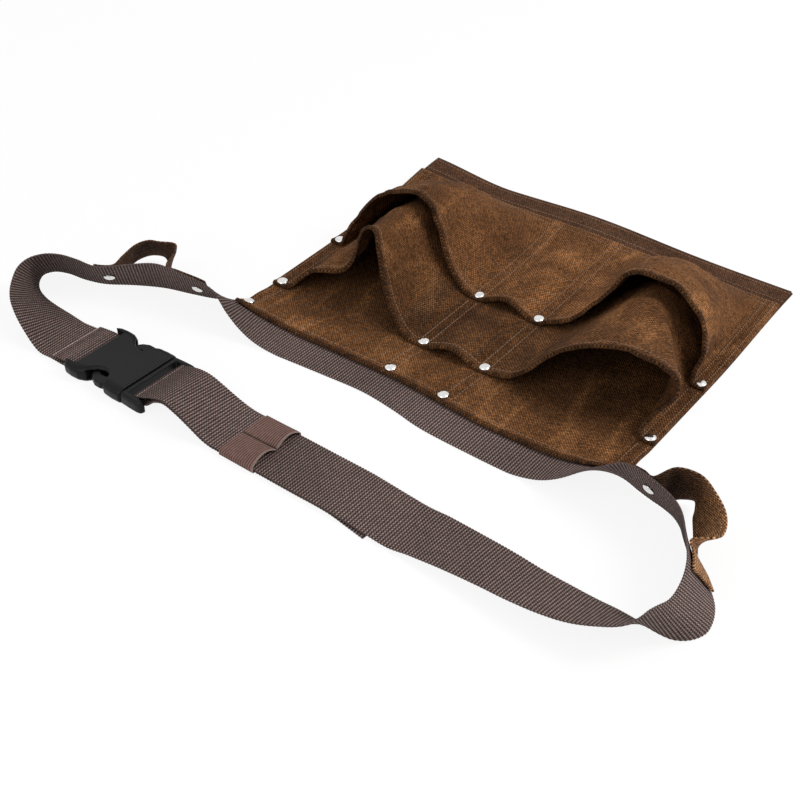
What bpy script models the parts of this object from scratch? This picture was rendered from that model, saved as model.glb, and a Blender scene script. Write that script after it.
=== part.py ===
"""Waist tool belt: a waxed-canvas pocket apron riveted to a 50 mm webbing belt.

The belt lies closed on a flat surface with its pockets facing up. +X runs along the
belt edge of the apron, +Y from the belt edge towards the bottom hem, +Z is up. The
origin is the underside of the webbing at the middle of the apron. Lengths below are
in millimetres and are turned into metres where each mesh is made.
"""
import math

import bmesh
import bpy
import numpy as np
from mathutils import Matrix, Vector

MM = 0.001
GAP = 0.3

# Apron
APRON_HALF_WIDTH = 180.0
APRON_BOTTOM_Y = 290.0
CANVAS = 1.4
POCKET_BOTTOM_Y = 264.0
COLUMN_X = (-174.0, -29.0, 29.0, 174.0)
BELT_COLUMN_X = (-173.0, -28.5, 24.0, 174.0)
MIDDLE_ROW_Y = 51.0
FRONT_ROW_Y = 129.0
RIVET_TO_HEM = 6.0
FLAT_HALF = 6.0
CORNER_LIFT = 9.0
EDGE_BOW = 5.0
BOTTOM_DRIFT = 4.0

# Belt
WEBBING_WIDTH = 50.0
WEBBING = 1.5
LOOP_WIDTH = 38.0
KEEPER_LENGTH = 33.0
KEEPER_START_X = -67.0
KEEPER_THICKNESS = 0.7
TAIL_END_X = 69.0

# Rivets
CAP_RADIUS = 4.75
CAP_HEIGHT = 2.3
POST_RADIUS = 1.5
BASE_RADIUS = 4.2
BASE_THICKNESS = 0.5

# Buckle
REAR_BAR_Z = 4.8
END_BAR_Z = 8.4
BAR_HALF_HEIGHT = 1.3
BAR_CLEARANCE = 0.65
PRONG_Y = 19.5


# ---------------------------------------------------------------- helpers

def clear_scene():
    for item in list(bpy.data.objects):
        bpy.data.objects.remove(item, do_unlink=True)


def make_material(name, colour, roughness, metallic=0.0):
    material = bpy.data.materials.new(name)
    material.use_nodes = True
    shader = material.node_tree.nodes["Principled BSDF"]
    shader.inputs["Base Color"].default_value = (*colour, 1.0)
    shader.inputs["Roughness"].default_value = roughness
    shader.inputs["Metallic"].default_value = metallic
    return material


def add_solid(name, points, faces, material=None, smooth=True):
    """One closed body from points in millimetres, its faces turned outwards."""
    mesh = bpy.data.meshes.new(name)
    mesh.from_pydata([tuple(MM * c for c in p) for p in points], [], faces)
    shell = bmesh.new()
    shell.from_mesh(mesh)
    bmesh.ops.recalc_face_normals(shell, faces=shell.faces)
    shell.to_mesh(mesh)
    shell.free()
    if smooth:
        mesh.shade_smooth()
        mesh.set_sharp_from_angle(angle=math.radians(35))
    solid = bpy.data.objects.new(name, mesh)
    bpy.context.collection.objects.link(solid)
    if material:
        mesh.materials.append(material)
    return solid


def unit(vectors):
    return vectors / np.linalg.norm(vectors, axis=-1, keepdims=True)


def blend(a, b, t):
    return a + (b - a) * t


def ease(t):
    t = np.clip(t, 0.0, 1.0)
    return t * t * (3.0 - 2.0 * t)


def curve_through(points, step):
    """Points about `step` apart on a smooth curve through the given rows.

    A row may hold several points side by side, as for both edges of a strap; the
    spacing is measured on the first three columns.
    """
    points = np.asarray(points, float)
    lengths = np.linalg.norm(np.diff(points[:, :3], axis=0), axis=1) + 1e-9
    knots = np.concatenate([[0.0], np.cumsum(np.sqrt(lengths))])
    slopes = np.gradient(points, knots, axis=0)
    rows = []
    for i, length in enumerate(lengths):
        span = knots[i + 1] - knots[i]
        count = max(1, int(round(length / step)))
        for t in np.arange(count) / count:
            h1 = 2 * t**3 - 3 * t**2 + 1
            h2 = t**3 - 2 * t**2 + t
            h3 = -2 * t**3 + 3 * t**2
            h4 = t**3 - t**2
            rows.append(h1 * points[i] + h2 * span * slopes[i]
                        + h3 * points[i + 1] + h4 * span * slopes[i + 1])
    rows.append(points[-1])
    return np.array(rows)


def grid_normals(grid):
    along = np.gradient(grid, axis=0)
    across = np.gradient(grid, axis=1)
    return unit(np.cross(along, across))


def sheet_solid(name, grid, thickness, material):
    """A closed sheet of even thickness around a grid of mid-surface points."""
    normals = grid_normals(grid)
    rows, columns = grid.shape[:2]
    top = grid + normals * thickness / 2
    bottom = grid - normals * thickness / 2
    points = np.concatenate([top.reshape(-1, 3), bottom.reshape(-1, 3)])
    under = rows * columns

    def at(i, j, side=0):
        return side * under + i * columns + j

    faces = []
    for i in range(rows - 1):
        for j in range(columns - 1):
            faces.append((at(i, j), at(i + 1, j), at(i + 1, j + 1), at(i, j + 1)))
            faces.append((at(i, j, 1), at(i, j + 1, 1), at(i + 1, j + 1, 1), at(i + 1, j, 1)))
    for i in range(rows - 1):
        for j in (0, columns - 1):
            faces.append((at(i, j), at(i + 1, j), at(i + 1, j, 1), at(i, j, 1)))
    for j in range(columns - 1):
        for i in (0, rows - 1):
            faces.append((at(i, j), at(i, j + 1), at(i, j + 1, 1), at(i, j, 1)))
    return add_solid(name, points, faces, material)


def strap_grid(edges, width, columns=4):
    """Mid-surface of a strap from rows of (x, y, z) on one edge then the other."""
    first, second = edges[:, :3], edges[:, 3:]
    centre = (first + second) / 2
    half = unit(second - first) * width / 2
    offsets = np.linspace(-1.0, 1.0, columns)
    return np.stack([centre + half * offset for offset in offsets], axis=1)


def prism(name, outline, low, high, material=None):
    """An upright solid over a closed outline of (x, y) points."""
    count = len(outline)
    points = [(x, y, low) for x, y in outline] + [(x, y, high) for x, y in outline]
    faces = [tuple(range(count)), tuple(range(count, 2 * count))]
    for i in range(count):
        j = (i + 1) % count
        faces.append((i, j, count + j, count + i))
    return add_solid(name, points, faces, material)


def box(name, low, high, material=None):
    outline = ((low[0], low[1]), (high[0], low[1]), (high[0], high[1]), (low[0], high[1]))
    return prism(name, outline, low[2], high[2], material)


def turned(name, profile, origin, axis, sides, material=None):
    """A closed solid turned about `axis`; the profile is (radius, height) points."""
    frame = Vector(axis).to_track_quat("Z", "Y").to_matrix()
    points, rings = [], []
    for radius, height in profile:
        if radius == 0:
            rings.append([len(points)])
            points.append((0.0, 0.0, height))
            continue
        rings.append(list(range(len(points), len(points) + sides)))
        for k in range(sides):
            angle = 2 * math.pi * k / sides
            points.append((radius * math.cos(angle), radius * math.sin(angle), height))
    faces = []
    for lower, upper in zip(rings, rings[1:]):
        for k in range(sides):
            m = (k + 1) % sides
            corners = [lower[k % len(lower)], lower[m % len(lower)],
                       upper[m % len(upper)], upper[k % len(upper)]]
            faces.append(tuple(dict.fromkeys(corners)))
    placed = [tuple(Vector(origin) + frame @ Vector(p)) for p in points]
    return add_solid(name, placed, faces, material)


def hide_cutter(cutter):
    cutter.hide_render = True
    cutter.display_type = "WIRE"


def cut(solid, cutter):
    hide_cutter(cutter)
    modifier = solid.modifiers.new("cut_" + cutter.name, "BOOLEAN")
    modifier.operation = "DIFFERENCE"
    modifier.solver = "EXACT"
    modifier.object = cutter


def round_edges(solid, width, segments=2, angle=40):
    modifier = solid.modifiers.new("rounded", "BEVEL")
    modifier.width = width * MM
    modifier.segments = segments
    modifier.limit_method = "ANGLE"
    modifier.angle_limit = math.radians(angle)


# ---------------------------------------------------------------- belt webbing

# The strap's two edges, station by station: the edge that lies on the surface, then
# the edge that stands up. Between the left bend and the right bend the strap turns
# from flat to standing and back, because webbing can't bend in its own plane.
LEFT_BEND = (
    (-250, -88, 1.9, -252, -138, 1.9),
    (-266, -88, 1.2, -266, -138, 2.8),
    (-284, -86, 1.0, -284, -134, 12.5),
    (-302, -84, 1.0, -299, -129, 22.0),
    (-318, -81, 1.0, -310, -122, 28.0),
    (-332, -75, 1.0, -319, -111, 33.0),
    (-341, -66, 1.0, -325, -98, 38.0),
    (-345, -57, 1.0, -326, -85, 39.0),
    (-341, -49, 1.0, -320, -75, 40.0),
    (-330, -44, 1.0, -309, -68, 40.0),
    (-312, -42, 1.0, -292, -65, 40.0),
    (-294, -37, 1.0, -273, -62, 39.0),
    (-272, -23, 1.0, -253, -46, 40.0),
    (-250, -12, 1.0, -233, -34, 42.0),
    (-228, -6, 1.0, -210, -31, 41.0),
    (-208, 0, 1.0, -188, -28, 38.0),
    (-195, 6, 1.0, -176, -28, 33.0),
)
UNDER_APRON = (
    (-182, 12, 1.0, -164, -30, 22.0),
    (-164, 17, 0.75, -150, -31, 11.0),
    (-140, 19, 0.75, -134, -31, 4.0),
    (-112, 20, 0.75, -112, -30, 0.75),
    (-70, 22, 0.75, -70, -28, 0.75),
    (-30, 23, 0.75, -30, -27, 0.75),
    (0, 19, 0.75, 0, -31, 0.75),
    (30, 13, 0.75, 30, -37, 0.75),
    (75, 10, 0.75, 75, -40, 0.75),
    (110, 9, 0.75, 110, -41, 0.75),
    (132, 9, 0.75, 134, -40, 6.0),
    (152, 8, 0.75, 153, -39, 17.0),
    (166, 6, 1.0, 166, -36, 28.0),
)
RIGHT_BEND = (
    (180, 3, 1.0, 179, -33, 36.0),
    (193, -2, 1.0, 192, -29, 43.0),
    (206, -6, 1.0, 204, -30, 45.0),
    (218, -9, 1.0, 216, -33, 45.0),
    (228, -13, 1.0, 227, -37, 45.0),
    (237, -20, 1.0, 239, -43, 45.0),
    (245, -30, 1.0, 249, -52, 46.0),
    (254, -40, 1.0, 257, -63, 45.0),
    (268, -51, 1.0, 266, -77, 44.0),
    (281, -62, 1.0, 272, -88, 43.0),
    (290, -74, 1.0, 276, -100, 41.0),
    (295, -87, 1.0, 278, -113, 40.0),
    (296, -98, 1.0, 278, -123, 41.0),
    (291, -108, 1.0, 276, -132, 43.0),
    (282, -114, 1.0, 274, -139, 43.0),
    (272, -115, 1.0, 272, -144, 41.0),
    (263, -114, 1.0, 269, -147, 38.0),
    (254, -113, 1.0, 262, -151, 32.0),
    (241, -112, 1.0, 247, -155, 26.0),
    (226, -112, 1.0, 230, -158, 21.0),
    (206, -111, 1.0, 209, -159, 17.0),
    (184, -110, 1.0, 186, -158, 14.0),
    (158, -107, 1.0, 160, -156, 11.0),
    (130, -105, 1.2, 131, -155, 8.0),
    (104, -104, 1.6, 104, -154, 4.2),
)
# The closed front of the belt runs straight from the rear bar of the buckle to beyond
# the keeper, turned slightly out of line with the apron.
FRONT_START = (-229.0, -114.0)
FRONT_ANGLE = math.radians(-2.6)
TAIL_Z = 1.85
RUN_Z = TAIL_Z + WEBBING + 0.25


def front_point(x, across):
    """(x, y) of a point given along and across the straight front stretch."""
    along = x - FRONT_START[0]
    cosine, sine = math.cos(FRONT_ANGLE), math.sin(FRONT_ANGLE)
    return (FRONT_START[0] + along * cosine - across * sine,
            FRONT_START[1] + along * sine + across * cosine)


def front_rows(path):
    """Strap rows of the straight stretch from (x, z of far edge, z of near edge)."""
    half = WEBBING_WIDTH / 2
    return [(*front_point(x, half), far_z, *front_point(x, -half), near_z)
            for x, far_z, near_z in path]


def turn_path(centre_x, centre_z, radius, start, end, steps=9):
    angles = np.radians(np.linspace(start, end, steps))
    heights = centre_z + radius * np.sin(angles)
    return [(centre_x + radius * math.cos(a), z, z) for a, z in zip(angles, heights)]


def level_where_flat(rows, height):
    """Keeps the stretch under the keeper's way from dipping, and all of it off the floor."""
    flat = (rows[:, 0] > -110.0) & (rows[:, 0] < 34.0)
    for column in (2, 5):
        rows[flat, column] = np.maximum(rows[flat, column], height)
        rows[:, column] = np.maximum(rows[:, column], WEBBING / 2)
    return rows


def webbing_edges():
    """Rows of both strap edges, from the sewn end round to the free tail."""
    radius = BAR_HALF_HEIGHT + BAR_CLEARANCE + WEBBING / 2
    over, under = REAR_BAR_Z + radius, REAR_BAR_Z - radius
    sewn_end = [(-248, 5.2, 5.3), (-240, 6.4, 6.4), (-231, over, over)]
    rear_turn = turn_path(-226.0, REAR_BAR_Z, radius, 90, -90)
    rows = front_rows(sewn_end + rear_turn + [(-231, under, under), (-239, 1.7, 1.7)])
    over, under = END_BAR_Z + radius, END_BAR_Z - radius
    bend = curve_through(rows[-1:] + list(LEFT_BEND + UNDER_APRON + RIGHT_BEND), 8.5)
    bend[:, [2, 5]] = np.maximum(bend[:, [2, 5]], WEBBING / 2)
    run = front_rows([(36, RUN_Z, RUN_Z), (0, RUN_Z, RUN_Z), (-40, RUN_Z, RUN_Z),
                      (-76, RUN_Z, RUN_Z), (-86, 4.9, 6.3), (-98, 8.2, 12.0),
                      (-112, 13.0, 18.0), (-124, 16.2, 21.0), (-136, 15.8, 18.0),
                      (-146, 13.0, 13.6), (-152, over, over)])
    joining = [(88, -104.6, 1.9, 88, -154.6, 2.2), (70, -103.6, 2.6, 70, -153.6, 2.6),
               (52, -102.2, 3.2, 52, -152.2, 3.2)]
    tail = front_rows([(-148, under, under), (-142, 7.6, 8.2), (-134, 12.4, 14.8),
                       (-124, 13.6, 18.4), (-112, 10.5, 15.4), (-98, 6.0, 9.5),
                       (-86, 2.8, 4.0), (-76, TAIL_Z, TAIL_Z), (-40, TAIL_Z, TAIL_Z),
                       (0, TAIL_Z, TAIL_Z), (36, TAIL_Z, TAIL_Z)])
    tail_end = [(52, -103.4, 1.0, 52, -153.4, 1.0),
                (TAIL_END_X, -106.4, 0.8, TAIL_END_X, -156.4, 0.8)]
    front = level_where_flat(curve_through([bend[-1]] + joining + run, 10.0), RUN_Z)
    turn_rows = front_rows(turn_path(-153.5, END_BAR_Z, radius, 90, 270))
    tail_rows = level_where_flat(curve_through(tail + tail_end, 12.0), TAIL_Z)
    return np.concatenate([rows[:-1], bend, front[1:], turn_rows, tail_rows])


def surface_samples():
    """Dense mid-surface points and upward normals of the strap under the apron."""
    stations = list(LEFT_BEND[-2:] + UNDER_APRON + RIGHT_BEND[:2])
    fine = strap_grid(curve_through(stations, 2.0), WEBBING_WIDTH, 26)
    normals = grid_normals(fine)
    normals = normals * np.sign(normals[..., 2:3])
    return fine.reshape(-1, 3), normals.reshape(-1, 3)


STRAP_POINTS, STRAP_NORMALS = surface_samples()


def height_over_strap(x, y, clearance):
    """Height at (x, y) of a surface held `clearance` above the strap's mid-surface."""
    away = np.hypot(STRAP_POINTS[:, 0] - x, STRAP_POINTS[:, 1] - y)
    near = away < max(4.0, away.min() + 0.1)
    points, normals = STRAP_POINTS[near], STRAP_NORMALS[near]
    slopes = (normals[:, 0] * (x - points[:, 0]) + normals[:, 1] * (y - points[:, 1]))
    return np.max(points[:, 2] + (clearance - slopes) / normals[:, 2])


# ---------------------------------------------------------------- canvas panels

BACK_Z = CANVAS / 2
MIDDLE_Z = BACK_Z + CANVAS + GAP
FRONT_Z = MIDDLE_Z + CANVAS + GAP
OVER_WEBBING_Z = WEBBING + GAP + CANVAS / 2


def belt_edge_y(x):
    """The belt edge isn't quite straight: its right half is pulled 8 mm outwards."""
    return -1.5 - 8.5 * ease((x + 30.0) / 110.0)


def corner_lift(x, y):
    """The bottom left corner curls up, and the bottom edge bows up a little between."""
    corner = CORNER_LIFT * ease((-x - 95.0) / 95.0) * ease((y - 185.0) / 110.0)
    bow = EDGE_BOW * math.exp(-((x + 5.0) / 75.0) ** 2) * ease((y - 215.0) / 75.0)
    return corner + bow


def drift(y):
    """The lower part of the apron lies a few millimetres to the left."""
    return -BOTTOM_DRIFT * ease((y - 135.0) / 155.0)


def belt_rivet_point(column):
    x = BELT_COLUMN_X[column]
    return x, belt_edge_y(x) + 8.0


SEAM_STEPS = (0.0, 0.2, 0.4, 0.6, 0.8, 1.0)


def back_panel_grid():
    side = np.linspace(APRON_HALF_WIDTH, 126.0, 10)
    xs = np.concatenate([-side, np.linspace(-108.0, 108.0, 13), side[::-1]])
    grid = np.zeros((len(xs), 14, 3))
    for i, x in enumerate(xs):
        edge = belt_edge_y(x)
        near = [edge, edge + 8.0, edge + 16.0, 22.0, 31.0, 42.0]
        far = [86.0, *(blend(131.0, POCKET_BOTTOM_Y, t) for t in SEAM_STEPS), APRON_BOTTOM_Y]
        for j, y in enumerate(near + far):
            over = height_over_strap(x, min(y, 24.0), WEBBING / 2 + GAP + CANVAS / 2 + 0.7)
            over = max(over, OVER_WEBBING_Z)
            fade = ease((y - 24.0) / 17.0)
            grid[i, j] = (x + drift(y), y, blend(over, BACK_Z, fade) + corner_lift(x, y))
    return grid


# Hem of each big pocket, from its left rivet to its right one: how far the hem
# stands from the belt edge (y) and above the panel below it (z).
MIDDLE_LEFT_HEM = ((-163, 46, 1), (-148, 58, 16), (-124, 69, 19), (-117, 77, 28), (-117, 82, 47),
                   (-112, 83, 58), (-100, 80, 61), (-93, 74, 46), (-78, 64, 21), (-55, 50, 6),
                   (-41, 45, 0.6))
MIDDLE_LEFT_SECTION = ((-163, 131, 2), (-152, 131, 13), (-140, 131, 26), (-130, 131, 38),
                       (-121, 131, 47), (-112, 131, 51), (-101, 131, 49), (-90, 131, 36),
                       (-76, 131, 18), (-58, 131, 6), (-41, 131, 0.6))
MIDDLE_RIGHT_HEM = ((38, 45, 1), (54, 45, 5), (70, 48, 17), (86, 53, 34), (98, 56, 45),
                    (122, 59, 56), (147, 61, 59), (165, 65, 53), (176, 69, 40), (177, 68, 28),
                    (167, 58, 12), (164, 50, 3))
MIDDLE_RIGHT_SECTION = ((38, 131, 0.6), (54, 131, 3), (70, 131, 13), (86, 131, 28),
                        (100, 131, 42), (114, 131, 51), (124, 131, 52), (135, 131, 43),
                        (144, 131, 31), (152, 131, 18), (158, 131, 7), (162, 131, 1.5))
FRONT_LEFT_HEM = ((-163, 126, 14), (-150, 139, 38), (-138, 143, 50), (-122, 145, 57),
                  (-103, 145, 61), (-90, 142, 56), (-79, 138, 44), (-71, 134, 27),
                  (-57, 129, 11), (-41, 124, 2))
FRONT_RIGHT_HEM = ((38, 124, 2), (59, 127, 12), (78, 132, 33), (88, 138, 48), (96, 144, 60),
                   (110, 147, 64), (132, 147, 63), (151, 145, 54), (164, 141, 42),
                   (169, 136, 26), (166, 128, 8))


def span_rows(points, count):
    """`count` points evenly along a smooth curve through the given ones."""
    fine = curve_through(points, 1.0)
    length = np.concatenate([[0.0], np.cumsum(np.linalg.norm(np.diff(fine, axis=0), axis=1))])
    targets = np.linspace(0.0, length[-1], count)
    return np.stack([np.interp(targets, length, fine[:, k]) for k in range(3)], axis=1)


def pocket_row(left, right, row_y, centre_rise, counts):
    """One row of a pocket panel across its three pockets, side seam to side seam."""
    edge_y = row_y - RIVET_TO_HEM
    flats = []
    for x in COLUMN_X:
        inner = min(x + FLAT_HALF, APRON_HALF_WIDTH)
        outer = max(x - FLAT_HALF, -APRON_HALF_WIDTH)
        flats.append(((outer, edge_y, 0.0), (inner, edge_y, 0.0)))
    middle = [flats[1][1], (0.0, edge_y + 1.0, centre_rise), flats[2][0]]
    spans = ([flats[0][1], *left, flats[1][0]], middle, [flats[2][1], *right, flats[3][0]])
    row = [np.array([flats[0][0]])]
    for span, count in zip(spans, counts):
        row.append(span_rows(span, count))
    row.append(np.array([flats[3][1]]))
    return np.concatenate(row)


def flat_row(y, counts):
    """The same row where the panel is sewn down flat."""
    xs = [np.array([-APRON_HALF_WIDTH])]
    for left, right, count in zip(COLUMN_X, COLUMN_X[1:], counts):
        xs.append(np.linspace(left + FLAT_HALF, right - FLAT_HALF, count))
    xs.append(np.array([APRON_HALF_WIDTH]))
    xs = np.concatenate(xs)
    return np.stack([xs, np.full_like(xs, y), np.zeros_like(xs)], axis=1)


def lift_rows(grid, base):
    for i in range(grid.shape[0]):
        for j in range(grid.shape[1]):
            x, y, z = grid[i, j]
            grid[i, j] = (x + drift(y), y, base + z + corner_lift(x, y))
    return grid


SPAN_COUNTS = (22, 7, 22)


def middle_panel_grid():
    hem = pocket_row(MIDDLE_LEFT_HEM, MIDDLE_RIGHT_HEM, MIDDLE_ROW_Y, 7.0, SPAN_COUNTS)
    section = pocket_row(MIDDLE_LEFT_SECTION, MIDDLE_RIGHT_SECTION, 131.0 + RIVET_TO_HEM,
                         1.5, SPAN_COUNTS)
    section[:, 1] = 131.0
    seam = flat_row(POCKET_BOTTOM_Y, SPAN_COUNTS)
    rows = [hem, blend(hem, section, 0.16), blend(hem, section, 0.5), section]
    for t in SEAM_STEPS[1:]:
        row = blend(section, seam, t)
        row[:, 2] = section[:, 2] * (1.0 - t**1.7)
        rows.append(row)
    return lift_rows(np.stack(rows, axis=1), MIDDLE_Z)


def front_panel_grid():
    hem = pocket_row(FRONT_LEFT_HEM, FRONT_RIGHT_HEM, FRONT_ROW_Y, 8.2, SPAN_COUNTS)
    seam = flat_row(POCKET_BOTTOM_Y, SPAN_COUNTS)
    rows = [hem]
    for t in (0.08, 0.25, 0.42, 0.58, 0.74, 0.88, 1.0):
        row = blend(hem, seam, t)
        row[:, 2] = hem[:, 2] * (1.0 - t**1.9)
        rows.append(row)
    return lift_rows(np.stack(rows, axis=1), FRONT_Z)


def hem_strip_grid():
    xs = np.linspace(-APRON_HALF_WIDTH + 1, APRON_HALF_WIDTH - 1, 19)
    ys = np.array([POCKET_BOTTOM_Y + 0.6, POCKET_BOTTOM_Y + 13.0, APRON_BOTTOM_Y - 0.3])
    grid = np.zeros((len(xs), len(ys), 3))
    for i, x in enumerate(xs):
        for j, y in enumerate(ys):
            grid[i, j] = (x + drift(y), y, MIDDLE_Z + corner_lift(x, y))
    return grid


# ---------------------------------------------------------------- hammer loops

LEFT_LOOP = (
    (-289, -13, 5.5, -272, -33, 35.0),
    (-292, 1, 5.5, -274, -16, 36.0),
    (-288, 13, 6.0, -271, -4, 35.0),
    (-278, 18, 6.0, -262, 0, 35.0),
    (-270, 15, 6.0, -250, 5, 35.0),
    (-263, 9, 6.0, -242, -2, 35.0),
)
RIGHT_LOOP = (
    (225, 3, 5.0, 224, -9, 41.0),
    (233, 6, 6.0, 239, -6, 40.0),
    (239, -4, 8.0, 255, -15, 39.0),
    (244, -18, 11.0, 270, -28, 36.0),
    (252, -33, 12.0, 277, -48, 37.0),
)


def strap_frame_at(x):
    """Centre, normal and edge direction of the standing strap nearest to a given x."""
    rows = curve_through(LEFT_BEND[9:] + UNDER_APRON + RIGHT_BEND[:14], 1.0)
    grid = strap_grid(rows, WEBBING_WIDTH)
    centre = (grid[:, 0] + grid[:, -1]) / 2
    normal = grid_normals(grid)[:, 1]
    normal = normal * np.sign(normal[:, 1:2])
    k = int(np.argmin(np.abs(centre[:, 0] - x)))
    return centre[k], normal[k], unit(grid[k, -1] - grid[k, 0])


def against_strap(x, offset):
    centre, normal, direction = strap_frame_at(x)
    point = centre + normal * offset
    half = direction * LOOP_WIDTH / 2
    return (*(point - half), *(point + half))


LOOP_OFFSET = WEBBING / 2 + GAP + CANVAS / 2 + 1.0
LEFT_LOOP_RIVET_X = (-277.0, -207.0)
RIGHT_LOOP_RIVET_X = (210.0, 265.0)


def left_loop_grid():
    start = [against_strap(x, LOOP_OFFSET) for x in (-287, -280, -273)]
    end = [against_strap(x, LOOP_OFFSET) for x in (-234, -224, -214, -206, -199)]
    return strap_grid(curve_through(start + list(LEFT_LOOP) + end, 6.5), LOOP_WIDTH, 3)


def right_loop_grid():
    start = [against_strap(x, LOOP_OFFSET) for x in (200, 208, 215)]
    end = [against_strap(x, LOOP_OFFSET) for x in (262, 267, 273, 279)]
    return strap_grid(curve_through(start + list(RIGHT_LOOP) + end, 6.5), LOOP_WIDTH, 3)


# ---------------------------------------------------------------- rivets

def rivet_sites():
    """(name, foot point, outward normal, stack thickness) of every rivet."""
    sites = []
    for k in range(len(BELT_COLUMN_X)):
        x, y = belt_rivet_point(k)
        nearest = np.argmin((STRAP_POINTS[:, 0] - x) ** 2 + (STRAP_POINTS[:, 1] - y) ** 2)
        normal = STRAP_NORMALS[nearest]
        foot = np.array([x, y, height_over_strap(x, y, 0.0)]) - normal * WEBBING / 2
        sites.append((f"a{k + 1}", foot, normal, WEBBING + GAP + CANVAS + 0.9))
    up = np.array([0.0, 0.0, 1.0])
    for row, y, layers in (("b", MIDDLE_ROW_Y, 2), ("c", FRONT_ROW_Y, 3)):
        for k, x in enumerate(COLUMN_X):
            stack = layers * CANVAS + (layers - 1) * GAP
            sites.append((f"{row}{k + 1}", np.array([x, y, 0.0]), up, stack))
    for side, places in (("left", LEFT_LOOP_RIVET_X), ("right", RIGHT_LOOP_RIVET_X)):
        for k, x in enumerate(places):
            centre, normal, _ = strap_frame_at(x)
            foot = centre + normal * (LOOP_OFFSET + CANVAS / 2)
            stack = WEBBING / 2 + LOOP_OFFSET + CANVAS / 2
            sites.append((f"{side}_loop_{k + 1}", foot, -normal, stack))
    return sites


RECESS = BASE_THICKNESS + 0.35


def make_rivets(steel):
    """Caps, bases and the cutters of their holes; returns the cutters by row."""
    cutters = {}
    for name, foot, normal, stack in rivet_sites():
        lift = stack + GAP
        post_foot = BASE_THICKNESS + GAP
        cap = ((0, post_foot), (POST_RADIUS, post_foot), (POST_RADIUS, lift),
               (CAP_RADIUS - 0.3, lift), (CAP_RADIUS, lift + 0.5),
               (0.82 * CAP_RADIUS, lift + 1.5), (0.45 * CAP_RADIUS, lift + 2.1),
               (0, lift + CAP_HEIGHT))
        turned("rivet_cap_" + name, cap, foot, normal, 12, steel)
        base = ((0, 0.05), (BASE_RADIUS, 0.05), (BASE_RADIUS, BASE_THICKNESS),
                (0, BASE_THICKNESS))
        turned("rivet_base_" + name, base, foot, normal, 12, steel)
        hole = ((0, -2.0), (BASE_RADIUS + 0.8, -2.0), (BASE_RADIUS + 0.8, RECESS),
                (POST_RADIUS + 0.6, RECESS), (POST_RADIUS + 0.6, stack),
                (CAP_RADIUS + 0.9, stack), (CAP_RADIUS + 0.9, stack + 3.0),
                (0, stack + 3.0))
        cutters[name] = turned("hole_" + name, hole, foot, normal, 8)
        hide_cutter(cutters[name])
    return cutters


def drill(solid, cutters, names):
    for name in names:
        cut(solid, cutters[name])


# ---------------------------------------------------------------- buckle

HOUSING_OUTLINE = (
    (-228.6, 26.4), (-229.4, 28.6), (-227, 30.6), (-220, 31.4), (-213, 31.0), (-208, 28.6),
    (-204.5, 24.0), (-200, 19.6), (-195, 17.9), (-190.5, 18.8), (-187.4, 22.0),
    (-186.2, 28.6), (-184, 30.4), (-176, 31.2), (-167.5, 31.0), (-166, 29.8),
)
HOUSING_LAYERS = ((0.2, 2.6), (1.4, 1.0), (3.4, 0.2), (8.4, 0.0), (10.8, 1.2), (12.3, 3.6),
                  (13.0, 6.5))
FRAME_OUTLINE = ((-165.6, 29.8), (-157, 30.4), (-149, 30.6), (-144.6, 30.0), (-142.2, 27.8))
FRAME_LAYERS = ((0.6, 1.4), (2.0, 0.2), (8.2, 0.0), (10.6, 0.8), (11.6, 2.0))
PRONG_ROOT_X = -166.2
PRONG_OUTLINE = (
    (-166.2, -3.6), (-166.2, 0.6), (-181, 1.2), (-185.4, 2.6), (-186.0, 8.6), (-189, 9.9),
    (-195, 9.8), (-200, 7.4), (-203.4, 3.4), (-203.4, 0.0), (-200, -1.6), (-196, 1.2),
    (-188, 0.0), (-184, -2.8),
)


def place_on_front(solid):
    """Turns a body made with its centre line at y = 0 onto the straight front stretch."""
    x, y = FRONT_START
    turn = Matrix.Rotation(FRONT_ANGLE, 4, "Z")
    there = Matrix.Translation((x * MM, y * MM, 0.0))
    back = Matrix.Translation((-x * MM, 0.0, 0.0))
    solid.data.transform(there @ turn @ back)
    return solid


def layered(name, outline, layers, material):
    """A rounded slab: the mirrored outline at each height, drawn in at its sides."""
    rings = []
    for z, inset in layers:
        half = [(x, y - inset * (y - 10.0) / 21.0) for x, y in outline]
        ring = half + [(x, -y) for x, y in reversed(half)]
        rings.append([(x, y, z) for x, y in ring])
    count = len(rings[0])
    faces = [tuple(range(count)), tuple(range(len(rings) * count - count, len(rings) * count))]
    for k in range(len(rings) - 1):
        for i in range(count):
            j = (i + 1) % count
            low = k * count
            faces.append((low + i, low + j, low + count + j, low + count + i))
    return place_on_front(add_solid(name, sum(rings, []), faces, material))


def join(solid, name, low, high):
    """Adds a box to a body, given along, across and above the front stretch."""
    piece = place_on_front(box(name, low, high))
    hide_cutter(piece)
    modifier = solid.modifiers.new(name, "BOOLEAN")
    modifier.operation = "UNION"
    modifier.solver = "EXACT"
    modifier.object = piece


def make_housing(plastic):
    """The half that the prongs click into, with its webbing bar at the rear."""
    housing = layered("female_housing", HOUSING_OUTLINE, HOUSING_LAYERS, plastic)
    half = WEBBING_WIDTH / 2 + 0.35
    cut(housing, place_on_front(box("cut_strap_way", (-233, -half, -1), (-219.4, half, 14))))
    hollow = ((-208, 26.4), (-205, 26.4), (-205, 40), (-185.2, 40), (-185.2, 26.4),
              (-160, 26.4), (-160, -26.4), (-185.2, -26.4), (-185.2, -40), (-205, -40),
              (-205, -26.4), (-208, -26.4))
    cut(housing, place_on_front(prism("cut_hollow", hollow, 2.6, 10.6)))
    join(housing, "rear_bar", (-228.8, -half - 1.5, REAR_BAR_Z - BAR_HALF_HEIGHT),
         (-224.8, half + 1.5, REAR_BAR_Z + BAR_HALF_HEIGHT))
    return housing


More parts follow.
